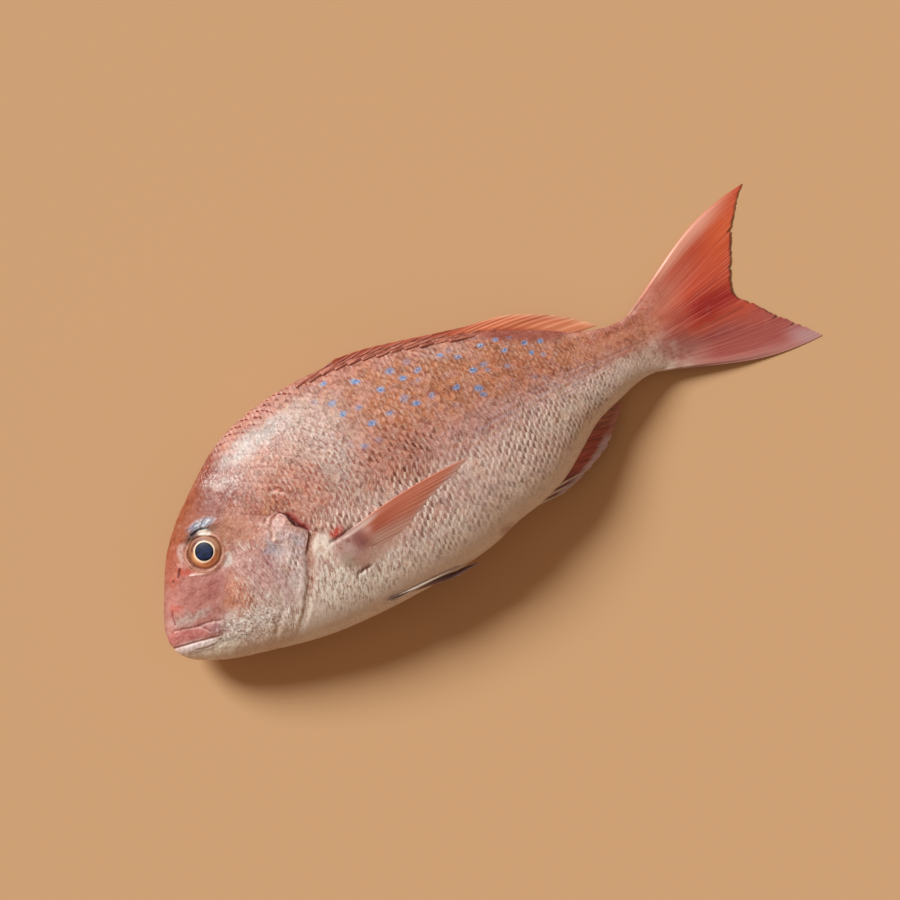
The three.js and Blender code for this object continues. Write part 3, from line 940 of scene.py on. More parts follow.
def painted_glints(graph, base, painted_sparkle, painted_glint):
    """Painted glints: bright flecks in some places and short bright slanting strokes in others, darker
    between them.
    """
    spark = graph.noise(graph.scaled(graph.place(), 1.0, 0.7, 1.0), 860.0, 3.0, 0.7, 0.4)
    base = graph.lay(base, colour(250, 246, 242), graph.smooth(spark, 0.51, 0.6) * painted_sparkle * 0.9)
    base = graph.tone(base, (0.42, 0.35, 0.34), graph.smooth(spark, 0.47, 0.36) * painted_sparkle * 0.9)
    x, y = graph.parts(graph.place())
    slanted = graph.combined(x * 700.0 + y * -330.0, x * 110.0 + y * 230.0)
    glint = graph.noise(slanted, 1.0, 3.0, 0.6, 0.6)
    base = graph.lay(base, colour(250, 244, 234), graph.smooth(glint, 0.5, 0.6) * painted_glint * 0.9)
    return graph.tone(base, (0.48, 0.37, 0.31), graph.smooth(glint, 0.48, 0.36) * painted_glint * 0.9)


def streaked(graph, base, streaky):
    """Fine streaks run up and down on the cheek and the gill cover."""
    streaks = graph.noise(graph.scaled(graph.place(), 1.0, 0.28, 1.0), 900.0, 3.0, 0.6, 0.6)
    base = graph.lay(base, WHITE, graph.smooth(streaks, 0.54, 0.68) * streaky * 0.75)
    return graph.lay(base, BROWN_RED, graph.smooth(streaks, 0.46, 0.32) * streaky * 0.55)


def blue_spotted(graph, base, uv, spots, spot_colour):
    """Bright blue spots stand in loose rows on the upper flank."""
    cells = graph.scaled(uv, 1 / SPOT_COLUMNS, 1 / SPOT_ROWS, 1.0)
    distance = graph.add(
        "ShaderNodeTexVoronoi", "Distance", {"Vector": cells, "Scale": 1.0, "Randomness": 0.95},
        feature="F1", distance="EUCLIDEAN", voronoi_dimensions="2D",
    )
    chosen, smaller = graph.channels(distance.beside("Color"))[:2]
    flecks = graph.noise(graph.place(), 1000.0, 3.0, 0.6)
    from_middle = smaller * 0.07 + (distance + (flecks * 0.24 + -0.12))
    spot = graph.smooth(from_middle, 0.29, 0.1) * graph.smooth(chosen, 0.12, 0.85) * spots
    blue = graph.lay(spot_colour, colour(204, 214, 220), graph.smooth(flecks, 0.5, 0.68))
    blue = graph.lay(blue, colour(58, 62, 84), graph.smooth(flecks, 0.44, 0.3))
    blue = graph.lay(blue, colour(48, 84, 150), graph.smooth(from_middle, 0.16, 0.06) * 0.5)
    return graph.lay(base, blue, spot * 0.9)


def skin_material(settings):
    graph = Graph("bream_skin")
    # The marks hold the dark dashes, the strength of the rims' painted highlight and shade, and the spots.
    dark, light, spots = graph.channels(graph.attribute("marks"))
    scaly, speckled, streaky = graph.channels(graph.attribute("finish"))
    # The grain holds the painted sparkle, the strokes and the painted glints.
    painted_sparkle, stroked, painted_glint = graph.channels(graph.attribute("grain"))
    uv = graph.uv()
    u, v = graph.parts(uv)
    scale = scale_nodes(graph, u, v)
    ahead, _, (chance, *_) = scale

    # Each scale is a little lighter or darker than the next.
    uneven = (chance * 0.4 + -0.2) * scaly + 1.0
    base = graph.tone(graph.attribute("tint"), uneven, 1.0)
    base = mottled(graph, base, speckled, scaly)
    base = stroked_skin(graph, base, u, v, stroked)
    base = scale_marks(graph, base, uv, scale, dark, light)
    base = painted_glints(graph, base, painted_sparkle, painted_glint)
    base = streaked(graph, base, streaky)
    base = blue_spotted(graph, base, uv, spots, settings.spot_colour)
    normal = graph.bump((1.0 - ahead) * scaly, 0.0002, 0.35)
    normal = graph.bump(graph.noise(graph.place(), 1500.0, 3.0, 0.6), 0.00016, 0.6, normal)
    return graph.finish(
        Base_Color=base, Roughness=graph.noise(graph.place(), 700.0, 2.0) * 0.35 + 0.34,
        Normal=normal, Specular_IOR_Level=0.35, Coat_Weight=0.1, Coat_Roughness=0.3,
    )


def fin_material(name, ray_colour, contrast=0.4, relief=0.5, skin_reach=None):
    """Rays along v, one for each unit of u, that branch outwards; skin may cover their roots."""
    graph = Graph(name)
    tint = graph.attribute("tint")
    u, v = graph.parts(graph.uv())
    once, twice, thrice = (
        graph.smooth(graph.math("COSINE", u * (TAU * count)), -0.8, 0.6) for count in (1, 2, 4)
    )
    rays = (twice - once) * graph.smooth(v, 0.35, 0.55) + once
    rays = (thrice - rays) * graph.smooth(v, 0.62, 0.8) + rays
    off_root = graph.smooth(v, 0.04, 0.2)
    lines = graph.noise(graph.scaled(graph.uv(), 5.0, 1.5, 1.0), 1.0, 2.0)
    between = (1.0 - rays) * off_root * (lines * contrast + contrast * 0.5)
    base = graph.lay(tint, ray_colour, between)
    hairs = graph.noise(graph.scaled(graph.uv(), 7.0, 1.2, 1.0), 1.0, 3.0, 0.7)
    hairy = graph.smooth(v, 0.06, 0.3)
    base = graph.lay(base, colour(224, 134, 116), graph.smooth(hairs, 0.5, 0.66) * hairy * 0.45)
    base = graph.lay(base, ray_colour, graph.smooth(hairs, 0.48, 0.32) * hairy * 0.6)
    blotch = graph.noise(graph.place(), 160.0, 3.0, 0.6)
    base = graph.lay(base, PALE_LILAC, graph.smooth(blotch, 0.55, 0.8) * 0.06)
    if skin_reach:
        skinned = graph.smooth(v, skin_reach, 0.4 * skin_reach)
        base = graph.lay(base, mottled(graph, tint, 1.0, 0.4), skinned)
    joints = graph.math("SINE", v * 260.0)
    normal = graph.bump((joints * 0.12 + rays) * off_root, 0.0003, relief)
    return graph.finish(
        Base_Color=base, Roughness=0.42, Normal=normal, Coat_Weight=0.2, Coat_Roughness=0.25,
    )


# The body

# Each grid has its columns, its rows and the share of its rows on the side that shows.
HEAD_COLUMNS = 232
HEAD_GRID = (HEAD_COLUMNS, 372, 0.7)
TRUNK_GRID = (402, 236, 0.76)
HEAD_LIP = 4  # columns that turn in under the gill cover
COVERED = 9.0  # how far the trunk runs on under the gill cover
OVERLAP = 6.0  # how far head and trunk run past each other where there is no gill cover
OVERLAP_DEPTH = 0.24


def seam_at(angle):
    """Where the head ends, at an angle round the body, and how free the gill cover is there."""
    x = np.full(angle.shape, 80.0)
    for _ in range(12):
        y = section(x, angle)[0]
        x = GILL_EDGE(y)
    return x, gill_cover_share(section(x, angle)[0])


# Where the skin gets painted glints, fine pale flecks with dark ones between: ovals with their lean, and how
# strongly
PAINTED_SPARKLES = [
    ((44, -16), (18, 8.5), -14, 1.0), ((24, -15), (9, 3), -14, 0.5), ((74, 52), (19, 10), 30, 0.2),
    ((70, 57), (13, 5), -28, 0.45), ((110, 58), (24, 12), 0, 0.3), ((128, 42), (9, 22), 0, 0.35),
]


def gill_opening(x, y):
    """How far behind the gill cover's edge, the red lip and the dark slit there, and its width."""
    behind = x - GILL_EDGE(y)
    wide = step(9.5, 14, y) * step(27, 21, y)
    lip = step(6.5, 3, behind) * step(0.3, 2.4, behind) * wide
    width = 0.9 + 2.3 * wide + 0.3 * noise(y / 2, 0 * y, 14)
    slit = step(-0.3, 0.2, behind) * step(width + 0.8, width - 0.5, behind)
    return behind, lip, slit * step(0.5, 3, y) * step(29.5, 27, y), width


def head_tints(tints, x, y):
    """The lips, the lines of the head, the eye's surround, the nostrils and the shut mouth."""
    lips = step(-0.6, 0.6, y - GAPE(x)) * step(0.8, -0.8, y - LIP_GROOVE(x))
    lips = lips * step(31.5, 29, x + 0.35 * (y + 9))
    tints = lay(tints, blend((196, 120, 116), (182, 130, 134), step(15, 23, x + y / 2)), 0.9 * lips)
    tints = lay(tints, (236, 220, 220), 0.9 * patch(x, y, (11.5, -10.6), (11, 3), -18, 0.5))
    # Among the lines are painted shade in the head's grooves and painted highlights beside them.
    for shade, points, width, strength in HEAD_LINES:
        tints = lay(tints, shade, strength * stroke(x, y, points, width, 0.6))
    tints = eye_tints(tints, x, y)
    # Each nostril gets a red rim and a dark pit of painted shade.
    for start, end, width, _ in NOSTRILS:
        tints = lay(tints, (178, 78, 58), 0.5 * stroke(x, y, [start, end], width + 3, 0.8))
        tints = lay(tints, (112, 52, 42), 0.75 * stroke(x, y, [start, end], width, 0.8))
    # The shut mouth's line is painted shade in the gape between the lips, darkest towards the front.
    gape = step(0.9, 0.1, np.abs(y - GAPE(x))) * step(27, 20, x)
    return lay(tints, blend((118, 48, 34), (150, 96, 84), step(8, 20, x)), 0.85 * gape)


def gill_tints(tints, x, y):
    """The gill opening with a painted highlight on its cover's edge, and the folds below it."""
    behind, lip, slit, width = gill_opening(x, y)
    flap_edge = step(1.0, 0.3, np.abs(behind + 0.7)) * step(12, 9, y) * step(-1, 1.5, y)
    wavy = behind + 0.6 * noise(x / 4, y / 4, 16)
    band = step(-0.5, 1, wavy) * step(6.5, 4, wavy) * step(-26, -14, y) * step(10, 6, y)
    crease = step(1.3, 0.2, np.abs(behind - 0.2 + 0.4 * noise(x / 3, y / 3, 17)))
    crease = crease * step(-27, -17, y) * step(0, -3, y)
    return layered(
        tints,
        ((188, 96, 86), 0.75 * lip),
        # The gills' red in the slit, darkest at its front as painted shade under the cover's edge.
        (blend((92, 10, 8), (168, 56, 50), step(0.45, 1.0, behind / width)), 0.95 * slit),
        # A painted highlight along the cover's lower edge.
        ((236, 204, 204), 0.9 * flap_edge),
        ((182, 124, 102), 0.75 * band),
        ((150, 88, 72), 0.4 * band * step(0.2, 0.9, np.cos(TAU * wavy / 1.9))),
        # Painted shade in the crease where the cover's lower edge meets the body.
        ((140, 86, 72), 0.45 * crease),
    )


def trunk_tints(tints, x, y):
    """The vent, the lateral line, the fins' roots with painted shade, and the stripes of the flank."""
    tints = layered(
        tints,
        ((150, 80, 60), 0.5 * patch(x, y, (183, -43.6), (3.6, 2.0), 8, 0.9)),
        ((150, 84, 62), 0.3 * stroke(x, y, LATERAL_LINE, 1.6, 0.8)),
    )
    tints = pectoral_base_tints(tints, x, y)
    tints = lay(tints, (146, 74, 66), 0.8 * dorsal_band(x, y))
    tints = rear_tints(x, y, lay(tints, (158, 78, 62), 0.6 * spiny_band(x, y)))
    stripes = patch(x, y, (228, 4), (50, 9), -3, 0.5)
    wave = np.cos(TAU * (y + 0.05 * (x - 228)) / 3.6)
    tints = lay(tints, (196, 166, 174), 0.5 * stripes * step(0, 0.8, wave))
    return lay(tints, (168, 112, 90), 0.35 * stripes * step(0, -0.8, wave))


def skin_layers(x, y):
    """The colour layers of the skin, which its material reads as attributes."""
    h = height_share(x, y)
    tints = trunk_tints(gill_tints(head_tints(body_tints(x, y), x, y), x, y), x, y)
    behind, lip, slit, _ = gill_opening(x, y)
    lower_flank = step(0.0, -0.3, h) * step(-0.95, -0.8, h)
    upper_flank = step(-0.1, 0.3, h)
    shoulder = patch(x, y, (110, 26), (26, 34), 0, 0.5)
    barred = patch(x, y, (156, 17), (20, 15), 0, 0.6)
    breast = patch(x, y, (102, -24), (32, 15), -8, 0.6)
    dotted = patch(x, y, (100, 76.5), (32, 5), 3, 0.4)

    # Where scales show, how dark the marks on them are, and how strong the painted highlight and shade at
    # their rims are
    smooth_band = step(7, 4, np.abs(behind - 1.5)) * step(10, 2, y)
    scaly = scaliness(x, y) * (1 - 0.8 * smooth_band) * (1 - np.maximum(slit, 0.6 * lip))
    scaly = scaly * (1 - 0.8 * dorsal_band(x, y))
    uneven = 0.8 + 0.4 * noise(x / 11, y / 9, 51)
    dark = 0.3 + 0.15 * upper_flank + 0.1 * lower_flank + 0.3 * shoulder + 0.55 * barred
    dark = scaly * uneven * dark * (1 - 0.8 * breast) + 0.6 * dotted
    pale = scaly * uneven * (0.2 + 0.8 * lower_flank + 0.08 * shoulder) * (1 - 0.75 * breast)
    spotted = step(128, 140, x) * step(258, 248, x) * step(0.18, 0.3, h) * step(0.95, 0.88, h)
    ink = layered(
        tinted((120, 52, 36), len(x)),
        (blend((150, 60, 42), (116, 80, 72), step(38, 50, y)), shoulder),
        ((112, 70, 56), lower_flank),
        ((96, 30, 20), barred),
        ((110, 20, 18), dotted),
    )

    # Where the skin is streaky, speckled and stroked, and where it gets painted sparkle and painted glints
    streaky = patch(x, y, (56, 2), (12, 26), -10, 0.5) + 0.4 * patch(x, y, (80, 2), (13, 28), 0, 0.4)
    streaky = np.clip(streaky, 0, 1) * step(30, 44, x)
    speckled = np.clip(step(-0.75, -0.2, h) + 0.3, 0, 1)
    painted_sparkle = np.zeros(len(x))
    for centre, size, lean, strength in PAINTED_SPARKLES:
        painted_sparkle = np.maximum(painted_sparkle, strength * patch(x, y, centre, size, lean, 0.5))
    stroked = scaly * step(58, 90, x) * (0.7 + 0.3 * shoulder) * (1 - 0.8 * breast)
    painted_glint = np.maximum(breast, 0.9 * patch(x, y, (64, -25), (9, 7), 30, 0.6))
    painted_glint = np.maximum(painted_glint, 0.5 * patch(x, y, (148, -26), (22, 10), 4, 0.7))
    painted_glint = painted_glint * step(-0.95, -0.82, h) * (1 - patch(x, y, (110, -9), (11, 11), 0, 0.4))
    painted_glint = painted_glint * (1 - patch(x, y, (123, -16.5), (17, 5), 10, 0.4))
    # The grain layer carries the painted sparkle and glints as well as the strokes.
    return {
        "tint": np.clip(tints, 0, 1), "marks": np.clip(np.stack([dark, pale, spotted], 1), 0, 1),
        "ink": ink, "finish": np.stack([scaly, speckled, streaky], 1),
        "grain": np.stack([painted_sparkle, stroked, painted_glint], 1),
    }


def add_skin(name, columns, rows, left_share, shape, end_column, folded, material):
    """A closed skin shaped by shape(s, angle), whose hidden end is closed at one point inside.

    The last folded columns turn back inside, and keep the outward direction of the one before them."""
    grid, s, t = grid_shares(columns, rows)
    angle = around_body(t, left_share)
    x, offset = shape(s, angle)
    y, z = section(x, angle)
    plain_points = np.stack([x, y, z], 1)
    normals = outward(plain_points, columns, rows).reshape(rows + 1, columns + 1, 3)
    if folded:
        normals[:, -folded:] = normals[:, -folded - 1:-folded]
    normals = normals.reshape(-1, 3)
    u, v = scale_places(x, angle)
    points = plain_points + normals * (offset + scale_relief(x, y, u, v))[:, None]
    lattice = points.reshape(rows + 1, columns + 1, 3)
    beside = 1 if end_column == 0 else end_column - 1
    lattice[:, end_column] = lattice[:, beside].mean(axis=0)
    layers = skin_layers(x, y)
    return finish_piece(name, grid, points, layers, np.stack([u, v], 1), material, "fish")


def head_shape(s, angle):
    """The head from the snout back past the seam, or turned in under the gill cover."""
    lip_start = 1 - (HEAD_LIP + 1) / HEAD_COLUMNS
    share = np.clip(s / lip_start, 0, 1)
    turned = np.clip((s - lip_start) * HEAD_COLUMNS / HEAD_LIP, 0, 1)
    seam, cover = seam_at(angle)
    x = (seam + OVERLAP * (1 - cover)) * share ** 1.3 - 4.0 * turned * cover
    y = section(x, angle)[0]
    reach = np.maximum(OVERLAP * (1 - cover), 0.01)
    join = OVERLAP_DEPTH * step(-reach, reach, x - seam) * step(0, 0.3, 1 - cover)
    lip = np.sqrt(turned) * (0.5 + gill_cover_thickness(y))
    relief = head_relief(x, y) * mix(step(1, -9, x - seam), 1.0, step(0.7, 1.0, cover))
    return x, gill_cover_rise(x, y) + relief + gill_fold(x, y) - join - lip


def trunk_relief(x, y):
    """The fleshy roots of the fins and the folds beside them."""
    relief = 0.9 * patch(x, y, (109, -11), (8.5, 10.5), 0, 1.0)
    behind = x - GILL_EDGE(y)
    folds = sum(stroke(x, y, fold, 1.6, 0.8) for fold in OPERCLE_FOLDS[:2])
    relief += (0.4 * patch(x, y, (90, 34), (7, 5), 0, 0.8) - 0.4 * folds) * step(1, 5, behind)
    relief -= 0.9 * stroke(x, y, [(101, -0.9), (108, -0.8), (114, 0)], 1.6, 0.8)
    relief -= 0.6 * stroke(x, y, [(104.5, -22.4), (112, -22.4)], 1.6, 0.8)
    relief += 0.7 * dorsal_band(x, y)
    relief -= 0.12 * stroke(x, y, LATERAL_LINE, 1.4, 0.9)
    return relief - 0.5 * stroke(x, y, [(112, -43), (130, -44.4), (150, -46)], 1.8, 0.9)


def trunk_shape(s, angle):
    """The trunk from under the gill cover to the root of the tail fin."""
    seam, cover = seam_at(angle)
    start = seam - mix(OVERLAP, COVERED, cover)
    station = column_x(mix(scale_column(70.0), scale_column(TRUNK_END), s))
    level_out = step(0, 1, np.clip((station - 70) / 60, 0, 1))
    x = mix(start + (station - 70), station, level_out)
    y = section(x, angle)[0]
    behind = x - GILL_EDGE(y)
    free = 1 - gill_cover_share(y)
    reach = np.maximum(OVERLAP * free, 0.01)
    join = OVERLAP_DEPTH * step(reach, -reach, behind) * step(0, 0.3, free)
    thick = gill_cover_thickness(y)
    sunk = 0.6 * thick * step(7, 0, behind)
    sunk += (0.4 + 0.3 * thick) * step(0.2, -2.5, behind) * gill_cover_share(y)
    return x, trunk_relief(x, y) + gill_fold(x, y) - join - sunk


class BREAM_OT_body(bpy.types.Operator):
    """Make the skin of the head and the trunk"""
    bl_idname = "bream.body"
    bl_label = "Head and trunk"

    def execute(self, context):
        material = skin_material(context.scene.bream)
        add_skin("head_skin", *HEAD_GRID, head_shape, HEAD_COLUMNS, HEAD_LIP + 2, material)
        add_skin("trunk_skin", *TRUNK_GRID, trunk_shape, 0, 0, material)
        return {"FINISHED"}


# Fins

def ray_ridge(rays, r, t):
    """From 0 between the rays to 1 on them; they branch towards the edge."""
    def ridges(count):
        return step(-0.4, 0.9, np.cos(TAU * count * (rays - 1) * r))

    ridge = mix(ridges(1), ridges(2), step(0.35, 0.55, t))
    return mix(ridge, ridges(4), step(0.62, 0.8, t))


def add_fin(
    name, rays, columns, place, thickness, material, tints,
    per_ray=12, branching=1.0, ribbed=0.5, edge=1.0, flesh=None,
):
    """A closed thin fin: the grid runs along the rays, and round from one face to the other."""
    rows = 2 * per_ray * (rays - 1)
    grid, s, t = grid_shares(columns, rows)
    r = np.where(t <= 0.5, 2 * t, 2 - 2 * t)
    face = np.where(t <= 0.5, 1.0, -1.0)
    x, y, z = place(r, s)
    ridge = ray_ridge(rays, r, s * branching)
    full = mix(thickness, 0.4, s)
    half = 0.5 * full * mix(1 - ribbed, 1.0, ridge)
    if flesh is not None:
        covered = flesh(x, y)
        half = 0.5 * (half + covered + np.sqrt((half - covered) ** 2 + 0.15))
    half *= step(0, 1.5 / columns, s) * step(0, 0.4 / (rays - 1), r) * step(1, 1 - 0.4 / (rays - 1), r)
    half *= step(1, 1 - 1.5 / columns, s)
    half *= mix(edge, 1.0, step(1, 0.8, r))
    points = np.stack([x, y, z + face * half], 1)
    layers = {"tint": np.clip(tints(x, y, r, s), 0, 1)}
    places = np.stack([(rays - 1) * r, s * branching], 1)
    return finish_piece(name, grid, points, layers, places, material, "fish")


def swept(root, tip, bow=lambda r: 0 * r, reach=lambda r: 1 + 0 * r, bow_power=1.0):
    """The side view of a fin from its root and tip edges, with the rays bowed towards their tips."""
    def view(r, s):
        (rx, ry), (tx, ty) = root(r), tip(r)
        s = s * reach(r)
        x, y = mix(rx, tx, s), mix(ry, ty, s)
        length = np.maximum(np.hypot(tx - rx, ty - ry), 1e-6)
        bowed = bow(r) * np.sin(math.pi * s ** bow_power)
        return x - (ty - ry) / length * bowed, y + (tx - rx) / length * bowed

    return view


ROOT_WIDTH = through([(285, 7.8), (295, 5.0), (304, 3.0), (313, 1.9), (325, 1.2), (340, 0.8)])
ROOT_TOP = through([(285, 20.5), (300, 19.6), (310, 23.4), (330, 31), (350, 40)])
ROOT_BOTTOM = through([(285, -14), (300, -16.4), (310, -20.4), (330, -30), (350, -38)])
ROOT_LEVEL = 2.0


def tail_flesh(x, y):
    """How thick the flesh that runs out into the tail fin is to either side; it starts inside the trunk."""
    reach = np.where(y > ROOT_LEVEL, ROOT_TOP(x) - ROOT_LEVEL, ROOT_LEVEL - ROOT_BOTTOM(x))
    share = np.clip(np.abs(y - ROOT_LEVEL) / reach, 0, 1)
    flesh = ROOT_WIDTH(x) * np.sqrt(1 - share ** 2)
    return flesh + 0.15 - 0.7 * step(303, 296, x) - 3 * step(312, 336, x)


TAIL_RAYS = 17
TAIL_FOLD = 1.5
TAIL_SPLITS = [(0.24, 0.035), (0.4, 0.02), (0.61, 0.02), (0.76, 0.05), (0.86, 0.045)]


def tail_reach(r):
    """The tail fin's rear edge is frayed, and split in a few places."""
    reach = 1 - 0.005 * (1 + noise(r * 90, r * 0, 40)) * step(0, 0.05, r) * step(1, 0.9, r)
    for place, depth in TAIL_SPLITS:
        reach = reach - depth * np.exp(-(((r - place) / 0.006) ** 2))
    return reach


TAIL_VIEW = swept(
    edge_curve((291, 17.2), (292, 10), (293, 1), (292, -8), (290, -12.8)),
    edge_curve((386, 47), (377, 39), (368, 29), (359.8, 16), (351.3, 0.5), (358, -10.6), (365, -22.2),
               (372.8, -32.4), (380, -44)),
    lambda r: np.where(r < 0.5, 6.0, 4.8) * (1 - 2 * r) ** 3,
    tail_reach,
    1.5,
)


def tail_place(r, s):
    x, y = TAIL_VIEW(r, s)
    fold = TAIL_FOLD * s * (1 - s) * 4 * np.cos((r - 0.55) * 9) * np.exp(-(((r - 0.55) / 0.3) ** 2))
    return x, y, fold + 0.25 * noise(r * 9, s * 3, 41) * s


def tail_tints(x, y, r, s):
    tints = layered(
        tinted((196, 77, 51), len(x)),
        ((212, 92, 46), 0.8 * patch(x, y, (366, 34), (18, 10), 45, 0.8)),
        ((236, 168, 146), 0.95 * step(0.15, 0.04, r) * step(1.0, 0.7, s)),
        ((214, 136, 116), 0.5 * patch(x, y, (318, 18), (18, 6), 20, 0.9)),
        ((146, 6, 14), 0.95 * patch(x, y, (335, 1), (17, 7), -6, 0.8)),
        ((150, 16, 24), 0.7 * patch(x, y, (345, -1), (9, 5), 0, 0.8)),
        ((160, 82, 80), 0.9 * step(0.6, 0.7, r + 0.03 * noise(s * 6, r * 4, 47))),
        ((204, 152, 146), 0.6 * step(0.9, 1.0, r)),
        ((190, 84, 66), 0.6 * patch(x, y, (350, -12), (12, 6), -35, 0.8)),
        ((190, 152, 156), 0.8 * patch(x, y, (374, -40.5), (10, 4.5), -40, 0.8)),
        ((150, 52, 44), 0.6 * stroke(x, y, [(322, 7), (336, 9.5), (348, 11)], 0.9, 0.8)),
        ((120, 40, 40), 0.6 * stroke(x, y, [(322, -6), (338, -8), (352, -9)], 0.9, 0.8)),
    )
    root = step(330, 311, x + 3 * noise(r * 5, s * 4, 48))
    tints = blend(tints, rear_tints(x, y, body_tints(x, y)), root)
    margin = step(0.978, 0.992, s) * (0.6 + 0.4 * noise(r * 70, r * 0, 46))
    return lay(tints, (84, 36, 28), 0.8 * margin * step(0.8, 0.72, r))


DORSAL_RAYS = 24
FIN_ROOT = 3.0
DORSAL_ROOT_X = through([
    (0, 126), (0.25, 158), (0.5, 190), (0.625, 205), (0.75, 222), (0.875, 241), (1, 262),
])


def serrated(rays, depth, start=0.0):
    """The reach of a fin whose rays' tips stand out of its edge, from a share of the way along."""
    def reach(r):
        gap = 0.5 - 0.5 * np.cos(TAU * (rays - 1) * r)
        return 1 - depth * gap ** 2 * step(start - 0.05, start + 0.05, r) * step(1.0, 0.97, r)

    return reach


DORSAL_VIEW = swept(
    lambda r: (DORSAL_ROOT_X(r), BACK(DORSAL_ROOT_X(r)) - FIN_ROOT),
    edge_curve((153, 80.4), (168.5, 76.8), (186, 71.0), (203.5, 64.8), (221, 58.8), (240, 53.6),
               (256.5, 44.6), (269.5, 34.6), (281, 22.8)),
    lambda r: 1.2 * step(0.5, 0.8, r) * step(1.0, 0.85, r),
    serrated(DORSAL_RAYS, 0.02),
)


def dorsal_place(r, s):
    x, y = DORSAL_VIEW(r, s)
    return x, y, 0.8 * noise(r * 12, s * 2, 43) * s


def dorsal_tints(x, y, r, s):
    tints = layered(
        tinted((210, 116, 80), len(x)),
        ((150, 66, 52), 0.8 * step(0.62, 0.5, r)),
        ((190, 82, 60), 0.6 * step(0.7, 0.5, r) * step(0.5, 0.56, r)),
        # Darker towards the root: the fin's dark red base, deepened with painted shade where it lies on the
        # back.
        ((150, 58, 40), 0.8 * step(0.44, 0.18, s)),
        ((226, 152, 112), 0.7 * step(0.8, 1.0, r)),
    )
    ray = 0.5 + 0.5 * np.cos(TAU * (DORSAL_RAYS - 1) * (r + 0.012))
    tints = lay(tints, (236, 168, 136), 0.55 * step(0.5, 1.0, ray) * step(0.25, 0.5, s) * step(0.5, 0.65, r))
    return lay(tints, (232, 176, 140), 0.7 * step(0.75, 1.0, s) * step(0.5, 0.6, r))


ANAL_START, ANAL_END = 201.0, 262.0
ANAL_SINK = 5.0
ANAL_RAYS = 11
ANAL_VIEW = swept(
    lambda r: (mix(ANAL_START, ANAL_END, r), BELLY(mix(ANAL_START, ANAL_END, r)) + FIN_ROOT),
    edge_curve((219, -43.3), (229, -41.6), (240, -38.6), (251, -34.4), (258.5, -29.2), (266, -23),
               (271, -19)),
    reach=serrated(ANAL_RAYS, 0.05),
)


def anal_place(r, s):
    x, y = ANAL_VIEW(r, s)
    return x, y, -ANAL_SINK * s + 0.5 * noise(r * 8, s * 2, 44) * s


def anal_tints(x, y, r, s):
    return layered(
        tinted((172, 76, 58), len(x)),
        ((142, 102, 124), 0.7 * step(0.4, 0.15, r)),
        ((164, 108, 86), 0.8 * step(0.6, 0.85, r)),
        # A painted highlight along the fin's outer edge.
        ((222, 204, 214), 0.85 * step(0.62, 0.85, s) * step(0.72, 0.58, r)),
        ((206, 140, 130), 0.6 * step(0.7, 0.9, s) * step(0.6, 0.7, r)),
    )


PECTORAL_RAYS = 14
PECTORAL_VIEW = swept(
    edge_curve((102, -1.8), (106, -5), (108.5, -10), (108, -15.5)),
    edge_curve((187, -0.4), (183, -2.2), (172, -4.9), (158, -8.4), (148, -12), (140, -14.8), (131, -17.5)),
    lambda r: 2.8 * (1 - r),
    serrated(PECTORAL_RAYS, 0.02),
)


def pectoral_place(side):
    def place(r, s):
        x, y = PECTORAL_VIEW(r, s)
        stand = mix(0.9, -0.1, step(0.5, 1.0, r))
        off = mix(-0.4, stand, step(0.0, 0.3, s)) - (stand + 0.15) * s ** 3
        return x, y, side * (flank(x, y) + off + 0.12 * noise(r * 7, s * 3, 45) * s)

    return place


def pectoral_tints(x, y, r, s):
    tints = layered(
        tinted((198, 108, 82), len(x)),
        ((166, 84, 64), 0.6 * patch(x, y, (124, -7), (15, 4.5), 6, 0.9)),
        ((206, 150, 130), 0.8 * step(0.5, 0.8, r)),
        ((210, 134, 110), 0.7 * step(0.4, 0.85, s)),
    )
    skin = pectoral_base_tints(body_tints(x, y), x, y)
    tints = blend(tints, skin, step(0.36, 0.14, s + 0.05 * noise(r * 9, s * 4, 49)))
    tints = blend(tints, skin, 0.85 * step(0.5, 0.92, r))
    tints = blend(tints, skin, 0.6 * step(0.85, 1.0, s))
    edge_lines = step(0.2, 0.9, np.cos(TAU * (PECTORAL_RAYS - 1) * r)) * step(0.34, 0.1, r)
    return lay(tints, (232, 186, 170), 0.5 * edge_lines * step(0.75, 0.3, s) * step(0.08, 0.2, s))


PELVIC_RAYS = 6


def pelvic_place(side):
    view = swept(
        edge_curve((109, -42), (113, -43.4), (118, -44.4)),
        edge_curve((151, -48.9), (161, -51), (146, -51.2)),
    )

    def place(r, s):
        x, y = view(r, s)
        on_skin = flank(x, np.maximum(y, BELLY(x) + 0.5)) + 0.9
        return x, y, side * np.maximum(on_skin, mix(4.5, 3.0, s))

    return place


def pelvic_tints(x, y, r, s):
    tints = tinted((150, 122, 128), len(x))
    tints = lay(tints, (104, 74, 74), 0.8 * step(0.4, 0.1, r))
    return lay(tints, (196, 172, 172), 0.6 * step(0.7, 0.95, r))


DORSAL_SPINES = 12
SPINE_LENGTH = 25.0
SPINE_STEP = 7.4


def dorsal_spine(i, q):
    """The folded spines of the dorsal fin lie one behind the other along the back, on its left."""
    x = 127 + SPINE_STEP * i + SPINE_LENGTH * q
    y = BACK(x) + mix(-3.4, 1.5, q ** 1.4) + 0.5 * noise(i * 1.7, q, 71)
    z = flank(x, np.minimum(y, BACK(x) - 0.25)) + 0.55 + 0.5 * noise(i * 2.3, q, 72)
    return x, y, z


def pelvic_spine(i, q):
    """The stout spine in front of each pelvic fin, left and right."""
    x = mix(110.0, 156.0, q)
    y = mix(-43.6, -47.9, q) + 0.4 * np.sin(math.pi * q)
    side = np.where(i < 0.5, 1.0, -1.0)
    return x, y, side * (flank(x, y) + 0.5)


